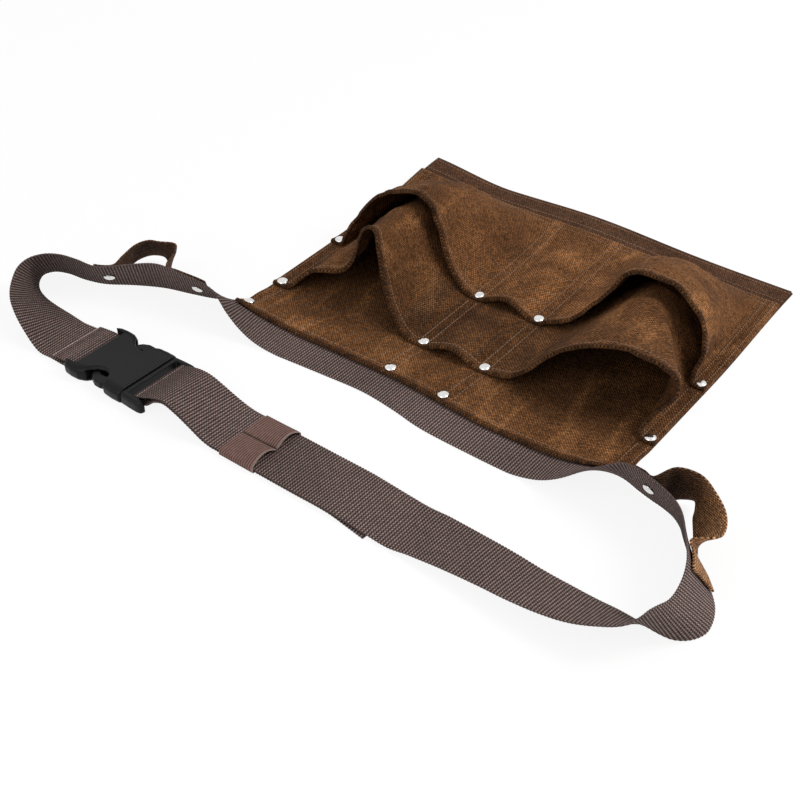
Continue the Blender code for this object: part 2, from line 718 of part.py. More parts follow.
def make_male_frame(plastic):
    """The half with the adjuster bars: side arms, two cross bars and a guide tongue."""
    frame = layered("male_frame", FRAME_OUTLINE, FRAME_LAYERS, plastic)
    half = WEBBING_WIDTH / 2 + 0.35
    cut(frame, place_on_front(box("cut_strap_slot", (-162.2, -half, -1), (-138, half, 14))))
    join(frame, "end_bar", (-154.7, -half - 1.5, END_BAR_Z - BAR_HALF_HEIGHT),
         (-150.0, half + 1.5, END_BAR_Z + BAR_HALF_HEIGHT))
    join(frame, "tongue", (-204, -7, 3.6), (-164, 7, 9.2))
    return frame


def make_prong(name, side, plastic):
    """A flexing arm with its ear; its origin is the root it flexes about."""
    outline = [(x, side * (PRONG_Y + y)) for x, y in PRONG_OUTLINE]
    prong = place_on_front(prism(name, outline, 3.8, 9.4, plastic))
    round_edges(prong, 0.5)
    x, y = front_point(PRONG_ROOT_X, side * PRONG_Y)
    root = Vector((x * MM, y * MM, 6.6 * MM))
    prong.data.transform(Matrix.Translation(-root))
    prong.location = root
    return prong


# ---------------------------------------------------------------- keeper

def band_outline(half, low, high, corner):
    """A flat loop round the strap: its corners cut by `corner`."""
    return ((half - corner, low), (half, low + corner), (half, high - corner),
            (half - corner, high), (corner - half, high), (-half, high - corner),
            (-half, low + corner), (corner - half, low))


def make_keeper(elastic):
    """An elastic band around the strap and its tail."""
    half = WEBBING_WIDTH / 2 + 0.4
    ceiling = RUN_Z + WEBBING / 2 + 0.3
    inner = band_outline(half, KEEPER_THICKNESS + 0.1, ceiling, 0.3)
    outer = band_outline(half + KEEPER_THICKNESS, 0.1, ceiling + KEEPER_THICKNESS, 0.6)
    count = len(outer)
    points = []
    for x in (KEEPER_START_X, KEEPER_START_X + KEEPER_LENGTH):
        for ring in (outer, inner):
            points += [(x, y, z) for y, z in ring]
    faces = []
    for i in range(count):
        j = (i + 1) % count
        faces.append((i, j, 2 * count + j, 2 * count + i))
        faces.append((count + i, 3 * count + i, 3 * count + j, count + j))
        faces.append((i, count + i, count + j, j))
        faces.append((2 * count + i, 2 * count + j, 3 * count + j, 3 * count + i))
    return place_on_front(add_solid("keeper", points, faces, elastic, smooth=False))


# ---------------------------------------------------------------- assembly

def build():
    clear_scene()
    canvas = make_material("waxed_canvas", (0.16, 0.085, 0.035), 0.85)
    twill = make_material("dark_twill", (0.085, 0.045, 0.028), 0.85)
    webbing = make_material("brown_webbing", (0.12, 0.085, 0.075), 0.8)
    elastic = make_material("brown_elastic", (0.2, 0.12, 0.095), 0.75)
    plastic = make_material("black_plastic", (0.018, 0.018, 0.019), 0.42)
    steel = make_material("nickel", (0.75, 0.74, 0.72), 0.18, 1.0)

    cutters = make_rivets(steel)
    back = sheet_solid("back_panel", back_panel_grid(), CANVAS, canvas)
    middle = sheet_solid("middle_pocket_panel", middle_panel_grid(), CANVAS, canvas)
    front = sheet_solid("front_pocket_panel", front_panel_grid(), CANVAS, canvas)
    sheet_solid("hem_strip", hem_strip_grid(), CANVAS, twill)
    strap = sheet_solid("belt_webbing", strap_grid(webbing_edges(), WEBBING_WIDTH), WEBBING,
                        webbing)
    left = sheet_solid("left_hammer_loop", left_loop_grid(), CANVAS, canvas)
    right = sheet_solid("right_hammer_loop", right_loop_grid(), CANVAS, canvas)

    belt_row = [f"a{k}" for k in (1, 2, 3, 4)]
    middle_row = [f"b{k}" for k in (1, 2, 3, 4)]
    front_row = [f"c{k}" for k in (1, 2, 3, 4)]
    drill(back, cutters, belt_row + middle_row + front_row)
    drill(middle, cutters, middle_row + front_row)
    drill(front, cutters, front_row)
    drill(strap, cutters, belt_row + ["left_loop_1", "left_loop_2", "right_loop_1",
                                      "right_loop_2"])
    drill(left, cutters, ["left_loop_1", "left_loop_2"])
    drill(right, cutters, ["right_loop_1", "right_loop_2"])

    make_housing(plastic)
    make_male_frame(plastic)
    make_prong("prong_near", -1, plastic)
    make_prong("prong_far", 1, plastic)
    make_keeper(elastic)


build()
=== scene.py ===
# %% [markdown]
# # A carpenter's waist tool belt
# The belt is a waxed-canvas apron with four big and two narrow pockets, riveted to a
# strap of 50 mm webbing that closes with a side-release buckle. This file dresses the
# solid model in fabric: it loads the solids as a fixed frame, makes each soft piece
# again with its real surface, and never moves or resizes what is there.

# %% Load the frame
import math

import bmesh
import bpy
import numpy as np
from mathutils import Euler, Matrix, Vector, noise


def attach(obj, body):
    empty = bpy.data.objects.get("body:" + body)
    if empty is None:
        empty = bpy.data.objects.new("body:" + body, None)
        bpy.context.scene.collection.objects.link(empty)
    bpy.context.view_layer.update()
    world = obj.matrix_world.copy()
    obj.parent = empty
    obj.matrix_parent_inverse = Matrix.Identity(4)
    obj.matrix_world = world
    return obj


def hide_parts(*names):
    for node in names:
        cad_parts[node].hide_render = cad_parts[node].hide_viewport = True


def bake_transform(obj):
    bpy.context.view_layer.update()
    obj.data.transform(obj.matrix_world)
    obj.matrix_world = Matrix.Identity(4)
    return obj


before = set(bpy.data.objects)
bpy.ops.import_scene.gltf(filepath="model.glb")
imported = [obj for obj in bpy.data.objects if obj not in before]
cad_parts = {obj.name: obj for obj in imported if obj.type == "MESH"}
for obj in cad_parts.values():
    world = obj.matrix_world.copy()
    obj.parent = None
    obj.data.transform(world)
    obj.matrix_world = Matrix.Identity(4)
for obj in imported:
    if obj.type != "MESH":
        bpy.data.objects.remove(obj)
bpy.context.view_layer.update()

MM = 0.001
WEBBING, WEBBING_WIDTH = 1.5, 50.0
CANVAS, LOOP_WIDTH = 1.4, 38.0
APRON_HALF_WIDTH, APRON_BOTTOM_Y, POCKET_BOTTOM_Y = 180.0, 290.0, 264.0

# %% [markdown]
# ## Camera
# The belt is seen from its buckle side, from the right of its middle and from above.
# The lens is fairly long, so the far hem is only a little smaller than the near strap.

# %% Camera
camera_data = bpy.data.cameras.new("camera")
camera_data.lens = 68.18
camera_data.sensor_width = 36.0
camera = bpy.data.objects.new("camera", camera_data)
camera.location = (0.53348, -0.74519, 0.70198)
camera.rotation_euler = Euler((math.radians(52.148), 0.0, math.radians(36.341)))
bpy.context.collection.objects.link(camera)
bpy.context.scene.camera = camera
bpy.context.scene.view_settings.view_transform = "Standard"
print("camera at", tuple(round(c, 3) for c in camera.location))

# %% [markdown]
# ## Curves and surfaces
# Cloth follows the paths that it was laid in. A smooth curve through a few stations
# gives each path, and a grid of points spread over it gives the sheet. The same small
# helpers serve every soft piece, so they come first.

# %% Helpers for curves
def unit(vectors):
    return vectors / np.linalg.norm(vectors, axis=-1, keepdims=True)


def mix(a, b, t):
    return a + (b - a) * t


def ease(t):
    t = np.clip(t, 0.0, 1.0)
    return t * t * (3.0 - 2.0 * t)


def walked(points, axis=0):
    """The distance gone at each point along an axis, from 0 at its start."""
    steps = np.linalg.norm(np.diff(points, axis=axis), axis=-1)
    start = np.zeros_like(steps.take([0], axis=axis))
    return np.concatenate([start, np.cumsum(steps, axis=axis)], axis=axis)


def read_off(points, length, targets):
    """`points` where `length`, the distance gone at each of them, meets the targets."""
    return np.stack([np.interp(targets, length, column) for column in points.T], axis=1)


def evenly(points, count):
    """`count` rows evenly along the line through the given ones."""
    length = walked(points[:, :3])
    return read_off(points, length, np.linspace(0.0, length[-1], count))


def curve_through(points, step):
    """Rows about `step` apart on a smooth curve through the given rows."""
    points = np.asarray(points, float)
    lengths = np.linalg.norm(np.diff(points[:, :3], axis=0), axis=1) + 1e-9
    knots = np.concatenate([[0.0], np.cumsum(np.sqrt(lengths))])
    slopes = np.gradient(points, knots, axis=0)
    rows = []
    for i, length in enumerate(lengths):
        span = knots[i + 1] - knots[i]
        count = max(1, int(round(length / step)))
        for t in np.arange(count) / count:
            h1 = 2 * t**3 - 3 * t**2 + 1
            h2 = t**3 - 2 * t**2 + t
            h3 = -2 * t**3 + 3 * t**2
            h4 = t**3 - t**2
            rows.append(h1 * points[i] + h2 * span * slopes[i]
                        + h3 * points[i + 1] + h4 * span * slopes[i + 1])
    rows.append(points[-1])
    return np.array(rows)


def grid_normals(grid):
    return unit(np.cross(np.gradient(grid, axis=0), np.gradient(grid, axis=1)))


def strap_grid(edges, width, columns):
    """Mid-surface of a strap from rows of (x, y, z) on one edge then the other."""
    first, second = edges[:, :3], edges[:, 3:]
    centre = (first + second) / 2
    half = unit(second - first) * width / 2
    return np.stack([centre + half * s for s in np.linspace(-1.0, 1.0, columns)], axis=1)


print("curve helpers ready")

# %% [markdown]
# ## From a grid to cloth
# Real cloth has two faces and an edge, and its weave follows its own threads, not the
# room. So each sheet is closed, has a thickness for every point, and carries a UV map
# in metres along and across its threads, from which the weave is drawn at its true size.

# %% Cloth from a grid
def linked(name, data):
    made = bpy.data.objects.new(name, data)
    bpy.context.collection.objects.link(made)
    return made


def fabric_shell(name, points, faces, uv, material, sharp_degrees, **values):
    """A closed mesh of cloth, from points in millimetres, with its faces outwards.

    `uv` and each of `values`, which are kept as attributes for the material, are given
    for one side of the cloth and used for both.
    """
    mesh = bpy.data.meshes.new(name)
    mesh.from_pydata((points * MM).tolist(), [], faces.tolist())
    corners = np.empty(len(mesh.loops), int)
    mesh.loops.foreach_get("vertex_index", corners)
    corner_uv = np.tile(uv.reshape(-1, 2), (2, 1))[corners]
    layer = mesh.uv_layers.new(name="threads")
    layer.data.foreach_set("uv", corner_uv.astype(np.float32).ravel())
    for label, value in values.items():
        attribute = mesh.attributes.new(label, "FLOAT", "POINT")
        attribute.data.foreach_set("value", np.tile(value.ravel(), 2).astype(np.float32))
    shell = bmesh.new()
    shell.from_mesh(mesh)
    if shell.calc_volume(signed=True) < 0:
        bmesh.ops.reverse_faces(shell, faces=shell.faces)
    shell.to_mesh(mesh)
    shell.free()
    mesh.shade_smooth()
    mesh.set_sharp_from_angle(angle=math.radians(sharp_degrees))
    mesh.materials.append(material)
    return linked(name, mesh)


def arc_lengths(grid, axis):
    """The distance gone along one axis of a grid, as the mean over the other axis."""
    steps = np.linalg.norm(np.diff(grid, axis=axis), axis=2)
    return np.concatenate([[0.0], np.cumsum(steps.mean(axis=1 - axis))])


def cloth(name, grid, thickness, material, above=0.5, u_start=0.0, **values):
    """A closed sheet: `above` is the share of its thickness on the normal's side."""
    shape = rows, columns = grid.shape[:2]
    thickness, above = (np.broadcast_to(np.asarray(given, float), shape)[..., None]
                        for given in (thickness, above))
    normals = grid_normals(grid)
    top = grid + normals * thickness * above
    bottom = grid - normals * thickness * (1.0 - above)
    index = np.arange(rows * columns).reshape(shape)
    a, b = index[:-1, :-1].ravel(), index[1:, :-1].ravel()
    c, d = index[1:, 1:].ravel(), index[:-1, 1:].ravel()
    under = rows * columns
    rim = np.concatenate([index[:, 0], index[-1, 1:], index[-2::-1, -1], index[0, -2:0:-1]])
    following = np.roll(rim, -1)
    faces = np.concatenate([np.stack([a, b, c, d], 1), np.stack([a, d, c, b], 1) + under,
                            np.stack([rim, rim + under, following + under, following], 1)])
    uv = np.stack(np.meshgrid(u_start + arc_lengths(grid, 0) * MM, arc_lengths(grid, 1) * MM,
                              indexing="ij"), axis=2)
    points = np.concatenate([top.reshape(-1, 3), bottom.reshape(-1, 3)])
    values = {label: np.broadcast_to(value, shape) for label, value in values.items()}
    sheet = fabric_shell(name, points, faces, uv, material, 50, **values)
    print(name, rows, "x", columns, "points,", len(faces) * 2, "triangles")
    return sheet


def declare(grid):
    length, width = (float(walked(grid, axis).max()) * MM for axis in (0, 1))


def dress(piece, grid, node):
    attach(piece, "belt")
    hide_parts(node)
    declare(grid)

# %% [markdown]
# ## Weave
# Every fabric here is woven, and each weave is threads that pass over and under each
# other. One node group draws that for all of them: it takes the thread spacing along
# and across, and gives the height of the threads, which feeds both colour and bump.

# %% Weave group
def add_node(tree, kind, inputs=None, **settings):
    """A node with its settings and inputs; an input is a value or a socket to link."""
    node = tree.nodes.new(kind)
    for name, value in settings.items():
        setattr(node, name, value)
    for key, value in (inputs or {}).items():
        if isinstance(value, bpy.types.NodeSocket):
            tree.links.new(value, node.inputs[key])
        else:
            node.inputs[key].default_value = value
    return node


def math_node(tree, operation, *values):
    node = add_node(tree, "ShaderNodeMath", dict(enumerate(values)), operation=operation)
    return node.outputs[0]


def new_group(name, kind, inputs, outputs):
    """A node group from (label, socket type, default value) of its inputs."""
    group = bpy.data.node_groups.new(name, kind)
    for label, socket_type, value in inputs:
        socket = group.interface.new_socket(label, in_out="INPUT", socket_type=socket_type)
        if value is not None:
            socket.default_value = value
    for label, socket_type in outputs:
        group.interface.new_socket(label, in_out="OUTPUT", socket_type=socket_type)
    return group, group.nodes.new("NodeGroupInput"), group.nodes.new("NodeGroupOutput")


def make_weave_group():
    """Plain weave: threads `Along` and `Across` apart, with `Slub` unevenness.

    `Rib` turns it from an even weave (0) into ribs across the length (1).
    """
    group, given, out = new_group(
        "weave", "ShaderNodeTree",
        [("Along", "NodeSocketFloat", 0.002), ("Across", "NodeSocketFloat", 0.002),
         ("Slub", "NodeSocketFloat", 0.3), ("Rib", "NodeSocketFloat", 0.0)],
        [("Height", "NodeSocketFloat"), ("Slubs", "NodeSocketFloat"),
         ("Speckle", "NodeSocketFloat")])
    uv = add_node(group, "ShaderNodeUVMap", uv_map="threads").outputs[0]
    uneven = add_node(group, "ShaderNodeTexNoise",
                      {"Vector": uv, "Scale": 260.0, "Detail": 2.0}).outputs[0]
    split = add_node(group, "ShaderNodeSeparateXYZ", {0: uv})
    wobble = math_node(group, "MULTIPLY", math_node(group, "SUBTRACT", uneven, 0.5),
                       given.outputs["Slub"])
    waves, cells = [], {}
    for axis, spacing in (("X", "Along"), ("Y", "Across")):
        turns = math_node(group, "DIVIDE", split.outputs[axis], given.outputs[spacing])
        moved = math_node(group, "ADD", turns, wobble)
        angle = math_node(group, "MULTIPLY", moved, 2 * math.pi)
        waves.append(math_node(group, "SINE", angle))
        cells[axis] = math_node(group, "FLOOR", math_node(group, "MULTIPLY", moved, 2.0))
    cell = add_node(group, "ShaderNodeCombineXYZ", cells).outputs[0]
    over = math_node(group, "MULTIPLY", *waves)
    to_rib = math_node(group, "MULTIPLY", math_node(group, "SUBTRACT", waves[0], over),
                       given.outputs["Rib"])
    ribbed = math_node(group, "ADD", over, to_rib)
    height = math_node(group, "MULTIPLY_ADD", ribbed, 0.5, 0.5)
    chance = add_node(group, "ShaderNodeTexWhiteNoise", {"Vector": cell})
    for label, value in (("Speckle", chance.outputs["Value"]), ("Height", height),
                         ("Slubs", uneven)):
        group.links.new(value, out.inputs[label])
    return group


WEAVE = make_weave_group()
print("weave group:", len(WEAVE.nodes), "nodes")

# %% [markdown]
# ## Wax and wear
# Waxed canvas is never one brown. The wax lies thicker in places, goes pale where the
# cloth has been folded or rubbed, and dark where it is pressed. A second group mixes
# broad patches with thin, pale, wandering crease lines.

# %% Wear group
def make_wear_group():
    group, given, out = new_group(
        "wax_wear", "ShaderNodeTree", [("Patch scale", "NodeSocketFloat", 22.0)],
        [("Patches", "NodeSocketFloat"), ("Creases", "NodeSocketFloat")])
    place = group.nodes.new("ShaderNodeTexCoord").outputs["Object"]
    patches = add_node(group, "ShaderNodeTexNoise",
                       {"Vector": place, "Scale": given.outputs["Patch scale"],
                        "Detail": 5.0, "Roughness": 0.6}).outputs[0]
    stretched = add_node(group, "ShaderNodeMapping",
                         {"Vector": place, "Scale": (0.75, 0.28, 0.5),
                          "Rotation": (0.0, 0.0, 0.5)}).outputs[0]
    wander = add_node(group, "ShaderNodeTexNoise",
                      {"Vector": stretched, "Scale": 26.0, "Detail": 2.0,
                       "Distortion": 0.5}).outputs[0]
    away = math_node(group, "ABSOLUTE", math_node(group, "SUBTRACT", wander, 0.5))
    line = math_node(group, "SUBTRACT", 1.0, math_node(group, "MULTIPLY", away, 15.0))
    line = math_node(group, "MAXIMUM", line, 0.0)
    where = math_node(group, "MULTIPLY_ADD", patches, 4.0, -1.45)
    broken = math_node(group, "MULTIPLY", line, math_node(group, "MAXIMUM", where, 0.0))
    group.links.new(patches, out.inputs["Patches"])
    group.links.new(math_node(group, "MINIMUM", broken, 1.0), out.inputs["Creases"])
    return group


WEAR = make_wear_group()
print("wear group:", len(WEAR.nodes), "nodes")

# %% [markdown]
# ## Finishes
# Canvas, twill, webbing and elastic differ in colour, in thread size and in how much
# the wax mottles them, so one function makes them all from those values.

# %% Fabric finishes
PALE_RIM = (0.36, 0.27, 0.24)
FABRIC_ROUGHNESS, FABRIC_SPECULAR, THREAD_RELIEF = 0.88, 0.12, 0.0006
PATCH_STOPS, PALER = (0.33, 0.5, 0.68), 1.9


def start_material(name, roughness, specular=None, metallic=0.0):
    material = bpy.data.materials.new(name)
    material.use_nodes = True
    shader = material.node_tree.nodes["Principled BSDF"]
    shader.inputs["Roughness"].default_value = roughness
    shader.inputs["Metallic"].default_value = metallic
    if specular is not None:
        shader.inputs["Specular IOR Level"].default_value = specular
    return material, material.node_tree, shader


def ramp(tree, source, stops):
    node = add_node(tree, "ShaderNodeValToRGB", {0: source})
    elements, stops = node.color_ramp.elements, list(stops)
    while len(elements) < len(stops):
        elements.new(0.5)
    for element, (place, colour) in zip(elements, stops):
        element.position, element.color = place, (*colour, 1.0)
    return node.outputs[0]


def mix_colours(tree, factor, first, second, blend_type="MIX"):
    if isinstance(second, tuple):
        second = (*second, 1.0)
    node = add_node(tree, "ShaderNodeMix", {0: factor, 6: first, 7: second},
                    data_type="RGBA", blend_type=blend_type)
    return node.outputs[2]


def add_bump(tree, shader, height, strength, distance):
    bump = add_node(tree, "ShaderNodeBump",
                    {"Height": height, "Strength": strength, "Distance": distance})
    tree.links.new(bump.outputs[0], shader.inputs["Normal"])


def around_one(tree, value, spread):
    """Takes a value of 0 to 1 to 1 - spread to 1 + spread."""
    return math_node(tree, "MULTIPLY_ADD", value, 2 * spread, 1.0 - spread)


def point_value(tree, label):
    node = add_node(tree, "ShaderNodeAttribute", attribute_name=label)
    return node.outputs["Fac"]


def fabric(name, dark, middle, light, threads, crease=0.0, bump=1.0, contrast=0.35,
           patch_scale=22.0, hem_shade=0.0, slub=0.3, speckle=0.0, second=None, rib=0.0,
           gap=1.0):
    """A woven finish: three colours of patches, thread spacing in metres, pale creases.

    `speckle` is how much single thread crossings differ, `second` is a colour that the
    attribute of the same name fades to, and `gap` above 1 widens the dark gaps.
    """
    material, tree, shader = start_material(name, FABRIC_ROUGHNESS, FABRIC_SPECULAR)
    weave = add_node(tree, "ShaderNodeGroup", node_tree=WEAVE)
    for label, value in zip(("Along", "Across", "Slub", "Rib"), (*threads, slub, rib)):
        weave.inputs[label].default_value = value
    wear = add_node(tree, "ShaderNodeGroup", node_tree=WEAR)
    wear.inputs["Patch scale"].default_value = patch_scale
    colour = ramp(tree, wear.outputs["Patches"], zip(PATCH_STOPS, (dark, middle, light)))
    creased = math_node(tree, "MULTIPLY", wear.outputs["Creases"], crease)
    colour = mix_colours(tree, creased, colour, tuple(min(1.0, c * PALER) for c in light))
    if second:
        colour = mix_colours(tree, point_value(tree, "second"), colour, second)
    raised = math_node(tree, "POWER", weave.outputs["Height"], gap)
    thread = math_node(tree, "MULTIPLY", around_one(tree, raised, contrast),
                       around_one(tree, weave.outputs["Speckle"], speckle))
    shade = math_node(tree, "MULTIPLY", thread,
                      math_node(tree, "MULTIPLY_ADD", weave.outputs["Slubs"], 0.6, 0.7))
    # The hem value darkens the colour, or lightens it where `hem_shade` is negative; on the
    # canvas it carries painted shade at hem rolls, seam grooves and panels shaded by the
    # pockets.
    if hem_shade:
        darker = math_node(tree, "MULTIPLY_ADD", point_value(tree, "hem"), -hem_shade, 1.0)
        shade = math_node(tree, "MULTIPLY", shade, darker)
    grey = add_node(tree, "ShaderNodeCombineColor", {k: shade for k in range(3)})
    colour = mix_colours(tree, 1.0, colour, grey.outputs[0], "MULTIPLY")
    tree.links.new(colour, shader.inputs["Base Color"])
    add_bump(tree, shader, weave.outputs["Height"], bump, THREAD_RELIEF)
    return material


def sewing_thread(name, *colours):
    return fabric(name, *colours, (0.0006, 0.0006), bump=0.2, contrast=0.1)


def loop_canvas(name, *colours, **look):
    return fabric(name, *colours, (0.0031, 0.0031), crease=0.1, contrast=0.85, speckle=0.5,
                  **look)


CANVAS_FINISH = fabric("waxed_canvas", (0.084, 0.034, 0.011), (0.126, 0.052, 0.018),
                       (0.162, 0.070, 0.025), (0.0025, 0.0025), crease=0.62, contrast=0.85,
                       hem_shade=0.62, speckle=0.5)
TWILL = fabric("dark_twill", (0.050, 0.022, 0.011), (0.070, 0.032, 0.016),
               (0.092, 0.043, 0.022), (0.0021, 0.0028), crease=0.05, bump=0.9,
               contrast=0.55, hem_shade=0.4, speckle=0.45)
BELT_FINISH = fabric("brown_webbing", (0.182, 0.126, 0.112), (0.205, 0.144, 0.129),
                     (0.232, 0.165, 0.150), (0.0026, 0.0024), contrast=0.97,
                     patch_scale=9.0, slub=0.03, speckle=0.18, second=PALE_RIM, rib=0.5,
                     gap=2.3)
ELASTIC = fabric("brown_elastic", (0.15, 0.086, 0.072), (0.165, 0.096, 0.080),
                 (0.18, 0.108, 0.092), (0.0022, 0.0300), contrast=0.45, patch_scale=12.0,
                 hem_shade=0.85, slub=0.02, rib=1.0, second=PALE_RIM)
STRAP_THREAD = sewing_thread("strap_thread", (0.10, 0.068, 0.060), (0.135, 0.094, 0.083),
                             (0.17, 0.12, 0.107))
THREAD = sewing_thread("stitch_thread", (0.19, 0.108, 0.066), (0.25, 0.148, 0.094),
                       (0.31, 0.19, 0.125))
DARK_LOOP = loop_canvas("loop_canvas_dark", (0.050, 0.024, 0.013), (0.075, 0.036, 0.019),
                        (0.11, 0.055, 0.028), hem_shade=-0.35)
WORN_LOOP = loop_canvas("loop_canvas_worn", (0.030, 0.014, 0.008), (0.05, 0.024, 0.013),
                        (0.08, 0.040, 0.020), hem_shade=-0.2, second=(0.25, 0.125, 0.057))
print("fabrics:", [m.name for m in bpy.data.materials])

# %% [markdown]
# ## Hard finishes
# The buckle is moulded in black plastic with a fine grain, which breaks its highlight
# into a soft sheen. The rivets are nickel plated and nearly mirrors, with slight
# dullness from handling.

# %% Plastic and nickel
def clouded(name, cloud_scale, colours, roughness, spread, specular=None, metallic=0.0):
    """A hard finish whose colour and roughness vary a little from place to place."""
    material, tree, shader = start_material(name, roughness, specular, metallic)
    place = tree.nodes.new("ShaderNodeTexCoord").outputs["Object"]
    cloud = add_node(tree, "ShaderNodeTexNoise", {"Vector": place, "Scale": cloud_scale})
    colour = ramp(tree, cloud.outputs[0], zip((0.3, 0.7), colours))
    tree.links.new(colour, shader.inputs["Base Color"])
    tree.links.new(math_node(tree, "MULTIPLY_ADD", cloud.outputs[0], spread, roughness),
                   shader.inputs["Roughness"])
    return material, tree, shader, place


def make_plastic():
    material, tree, shader, place = clouded(
        "moulded_plastic", 60.0, ((0.0045, 0.0045, 0.0047), (0.0075, 0.0075, 0.0078)),
        0.30, 0.16, specular=0.14)
    grain = add_node(tree, "ShaderNodeTexNoise", {"Vector": place, "Scale": 1400.0})
    add_bump(tree, shader, grain.outputs[0], 0.12, 0.0002)
    return material


PLASTIC = make_plastic()
NICKEL = clouded("bright_nickel", 300.0, ((0.66, 0.65, 0.63), (0.80, 0.79, 0.77)),
                 0.08, 0.12, metallic=1.0)[0]
print("hard finishes:", PLASTIC.name, NICKEL.name)

# %% [markdown]
# ## Where the strap goes
# The strap is sewn round the rear bar of the buckle, bends back, passes under the
# apron's top edge, turns at the right, runs along the front to the adjuster bar and
# comes back beneath itself as a free tail. Each station is one point on either edge,
# because webbing twists and stands on edge rather than bending in its own plane.

# %% Stations of the strap
STEP = 0.65
BAR_HALF_HEIGHT, BAR_CLEARANCE = 1.3, 0.65
REAR_BAR_Z, END_BAR_Z = 4.8, 8.4
TAIL_END_X = 69.0

LEFT_BEND = (
    (-250, -88, 1.9, -252, -138, 1.9),
    (-266, -88, 1.2, -266, -138, 2.8),
    (-284, -86, 1.0, -284, -134, 12.5),
    (-302, -84, 1.0, -299, -129, 22.0),
    (-318, -81, 1.0, -310, -122, 28.0),
    (-332, -75, 1.0, -319, -111, 33.0),
    (-341, -66, 1.0, -325, -98, 38.0),
    (-345, -57, 1.0, -326, -85, 39.0),
    (-341, -49, 1.0, -320, -75, 40.0),
    (-330, -44, 1.0, -309, -68, 40.0),
    (-312, -42, 1.0, -292, -65, 40.0),
    (-294, -37, 1.0, -273, -62, 39.0),
    (-272, -23, 1.0, -253, -46, 40.0),
    (-250, -12, 1.0, -233, -34, 42.0),
    (-228, -6, 1.0, -210, -31, 41.0),
    (-208, 0, 1.0, -188, -28, 38.0),
    (-195, 6, 1.0, -176, -28, 33.0),
)
UNDER_APRON = (
    (-182, 12, 1.0, -164, -30, 22.0),
    (-164, 17, 0.75, -150, -31, 11.0),
    (-140, 19, 0.75, -134, -31, 4.0),
    *((x, y, 0.75, x, y - 50, 0.75) for x, y in (
        (-112, 20), (-70, 22), (-30, 23), (0, 19), (30, 13), (75, 10), (110, 9))),
    (132, 9, 0.75, 134, -40, 6.0),
    (152, 8, 0.75, 153, -39, 17.0),
    (166, 6, 1.0, 166, -36, 28.0),
)
RIGHT_BEND = (
    (180, 3, 1.0, 179, -33, 36.0),
    (193, -2, 1.0, 192, -29, 43.0),
    (206, -6, 1.0, 204, -30, 45.0),
    (218, -9, 1.0, 216, -33, 45.0),
    (228, -13, 1.0, 227, -37, 45.0),
    (237, -20, 1.0, 239, -43, 45.0),
    (245, -30, 1.0, 249, -52, 46.0),
    (254, -40, 1.0, 257, -63, 45.0),
    (268, -51, 1.0, 266, -77, 44.0),
    (281, -62, 1.0, 272, -88, 43.0),
    (290, -74, 1.0, 276, -100, 41.0),
    (295, -87, 1.0, 278, -113, 40.0),
    (296, -98, 1.0, 278, -123, 41.0),
    (291, -108, 1.0, 276, -132, 43.0),
    (282, -114, 1.0, 274, -139, 43.0),
    (272, -115, 1.0, 272, -144, 41.0),
    (263, -114, 1.0, 269, -147, 38.0),
    (254, -113, 1.0, 262, -151, 32.0),
    (241, -112, 1.0, 247, -155, 26.0),
    (226, -112, 1.0, 230, -158, 21.0),
    (206, -111, 1.0, 209, -159, 17.0),
    (184, -110, 1.0, 186, -158, 14.0),
    (158, -107, 1.0, 160, -156, 11.0),
    (130, -105, 1.2, 131, -155, 8.0),
    (104, -104, 1.6, 104, -154, 4.2),
)
# The closed front of the belt runs straight from the rear bar of the buckle to beyond
# the keeper, turned slightly out of line with the apron.
FRONT_START = (-229.0, -114.0)
FRONT_ANGLE = math.radians(-2.6)
TAIL_Z = 1.85
RUN_Z = TAIL_Z + WEBBING + 0.25


def front_point(x, across):
    """(x, y) of a point given along and across the straight front stretch."""
    along = x - FRONT_START[0]
    cosine, sine = math.cos(FRONT_ANGLE), math.sin(FRONT_ANGLE)
    return (FRONT_START[0] + along * cosine - across * sine,
            FRONT_START[1] + along * sine + across * cosine)


def front_rows(path):
    """Strap rows of the straight stretch from (x, z of far edge, z of near edge)."""
    half = WEBBING_WIDTH / 2
    return [(*front_point(x, half), far_z, *front_point(x, -half), near_z)
            for x, far_z, near_z in path]


def level(xs, z):
    return [(x, z, z) for x in xs]


def turn_path(centre_x, centre_z, radius, start, end):
    angles = np.radians(np.linspace(start, end, 13))
    heights = centre_z + radius * np.sin(angles)
    return [(centre_x + radius * math.cos(a), z, z) for a, z in zip(angles, heights)]


def level_where_flat(rows, height):
    """Keeps the stretch under the keeper's way from dipping, and all of it off the floor."""
    flat = (rows[:, 0] > -110.0) & (rows[:, 0] < 34.0)
    for column in (2, 5):
        rows[flat, column] = np.maximum(rows[flat, column], height)
        rows[:, column] = np.maximum(rows[:, column], WEBBING / 2)
    return rows


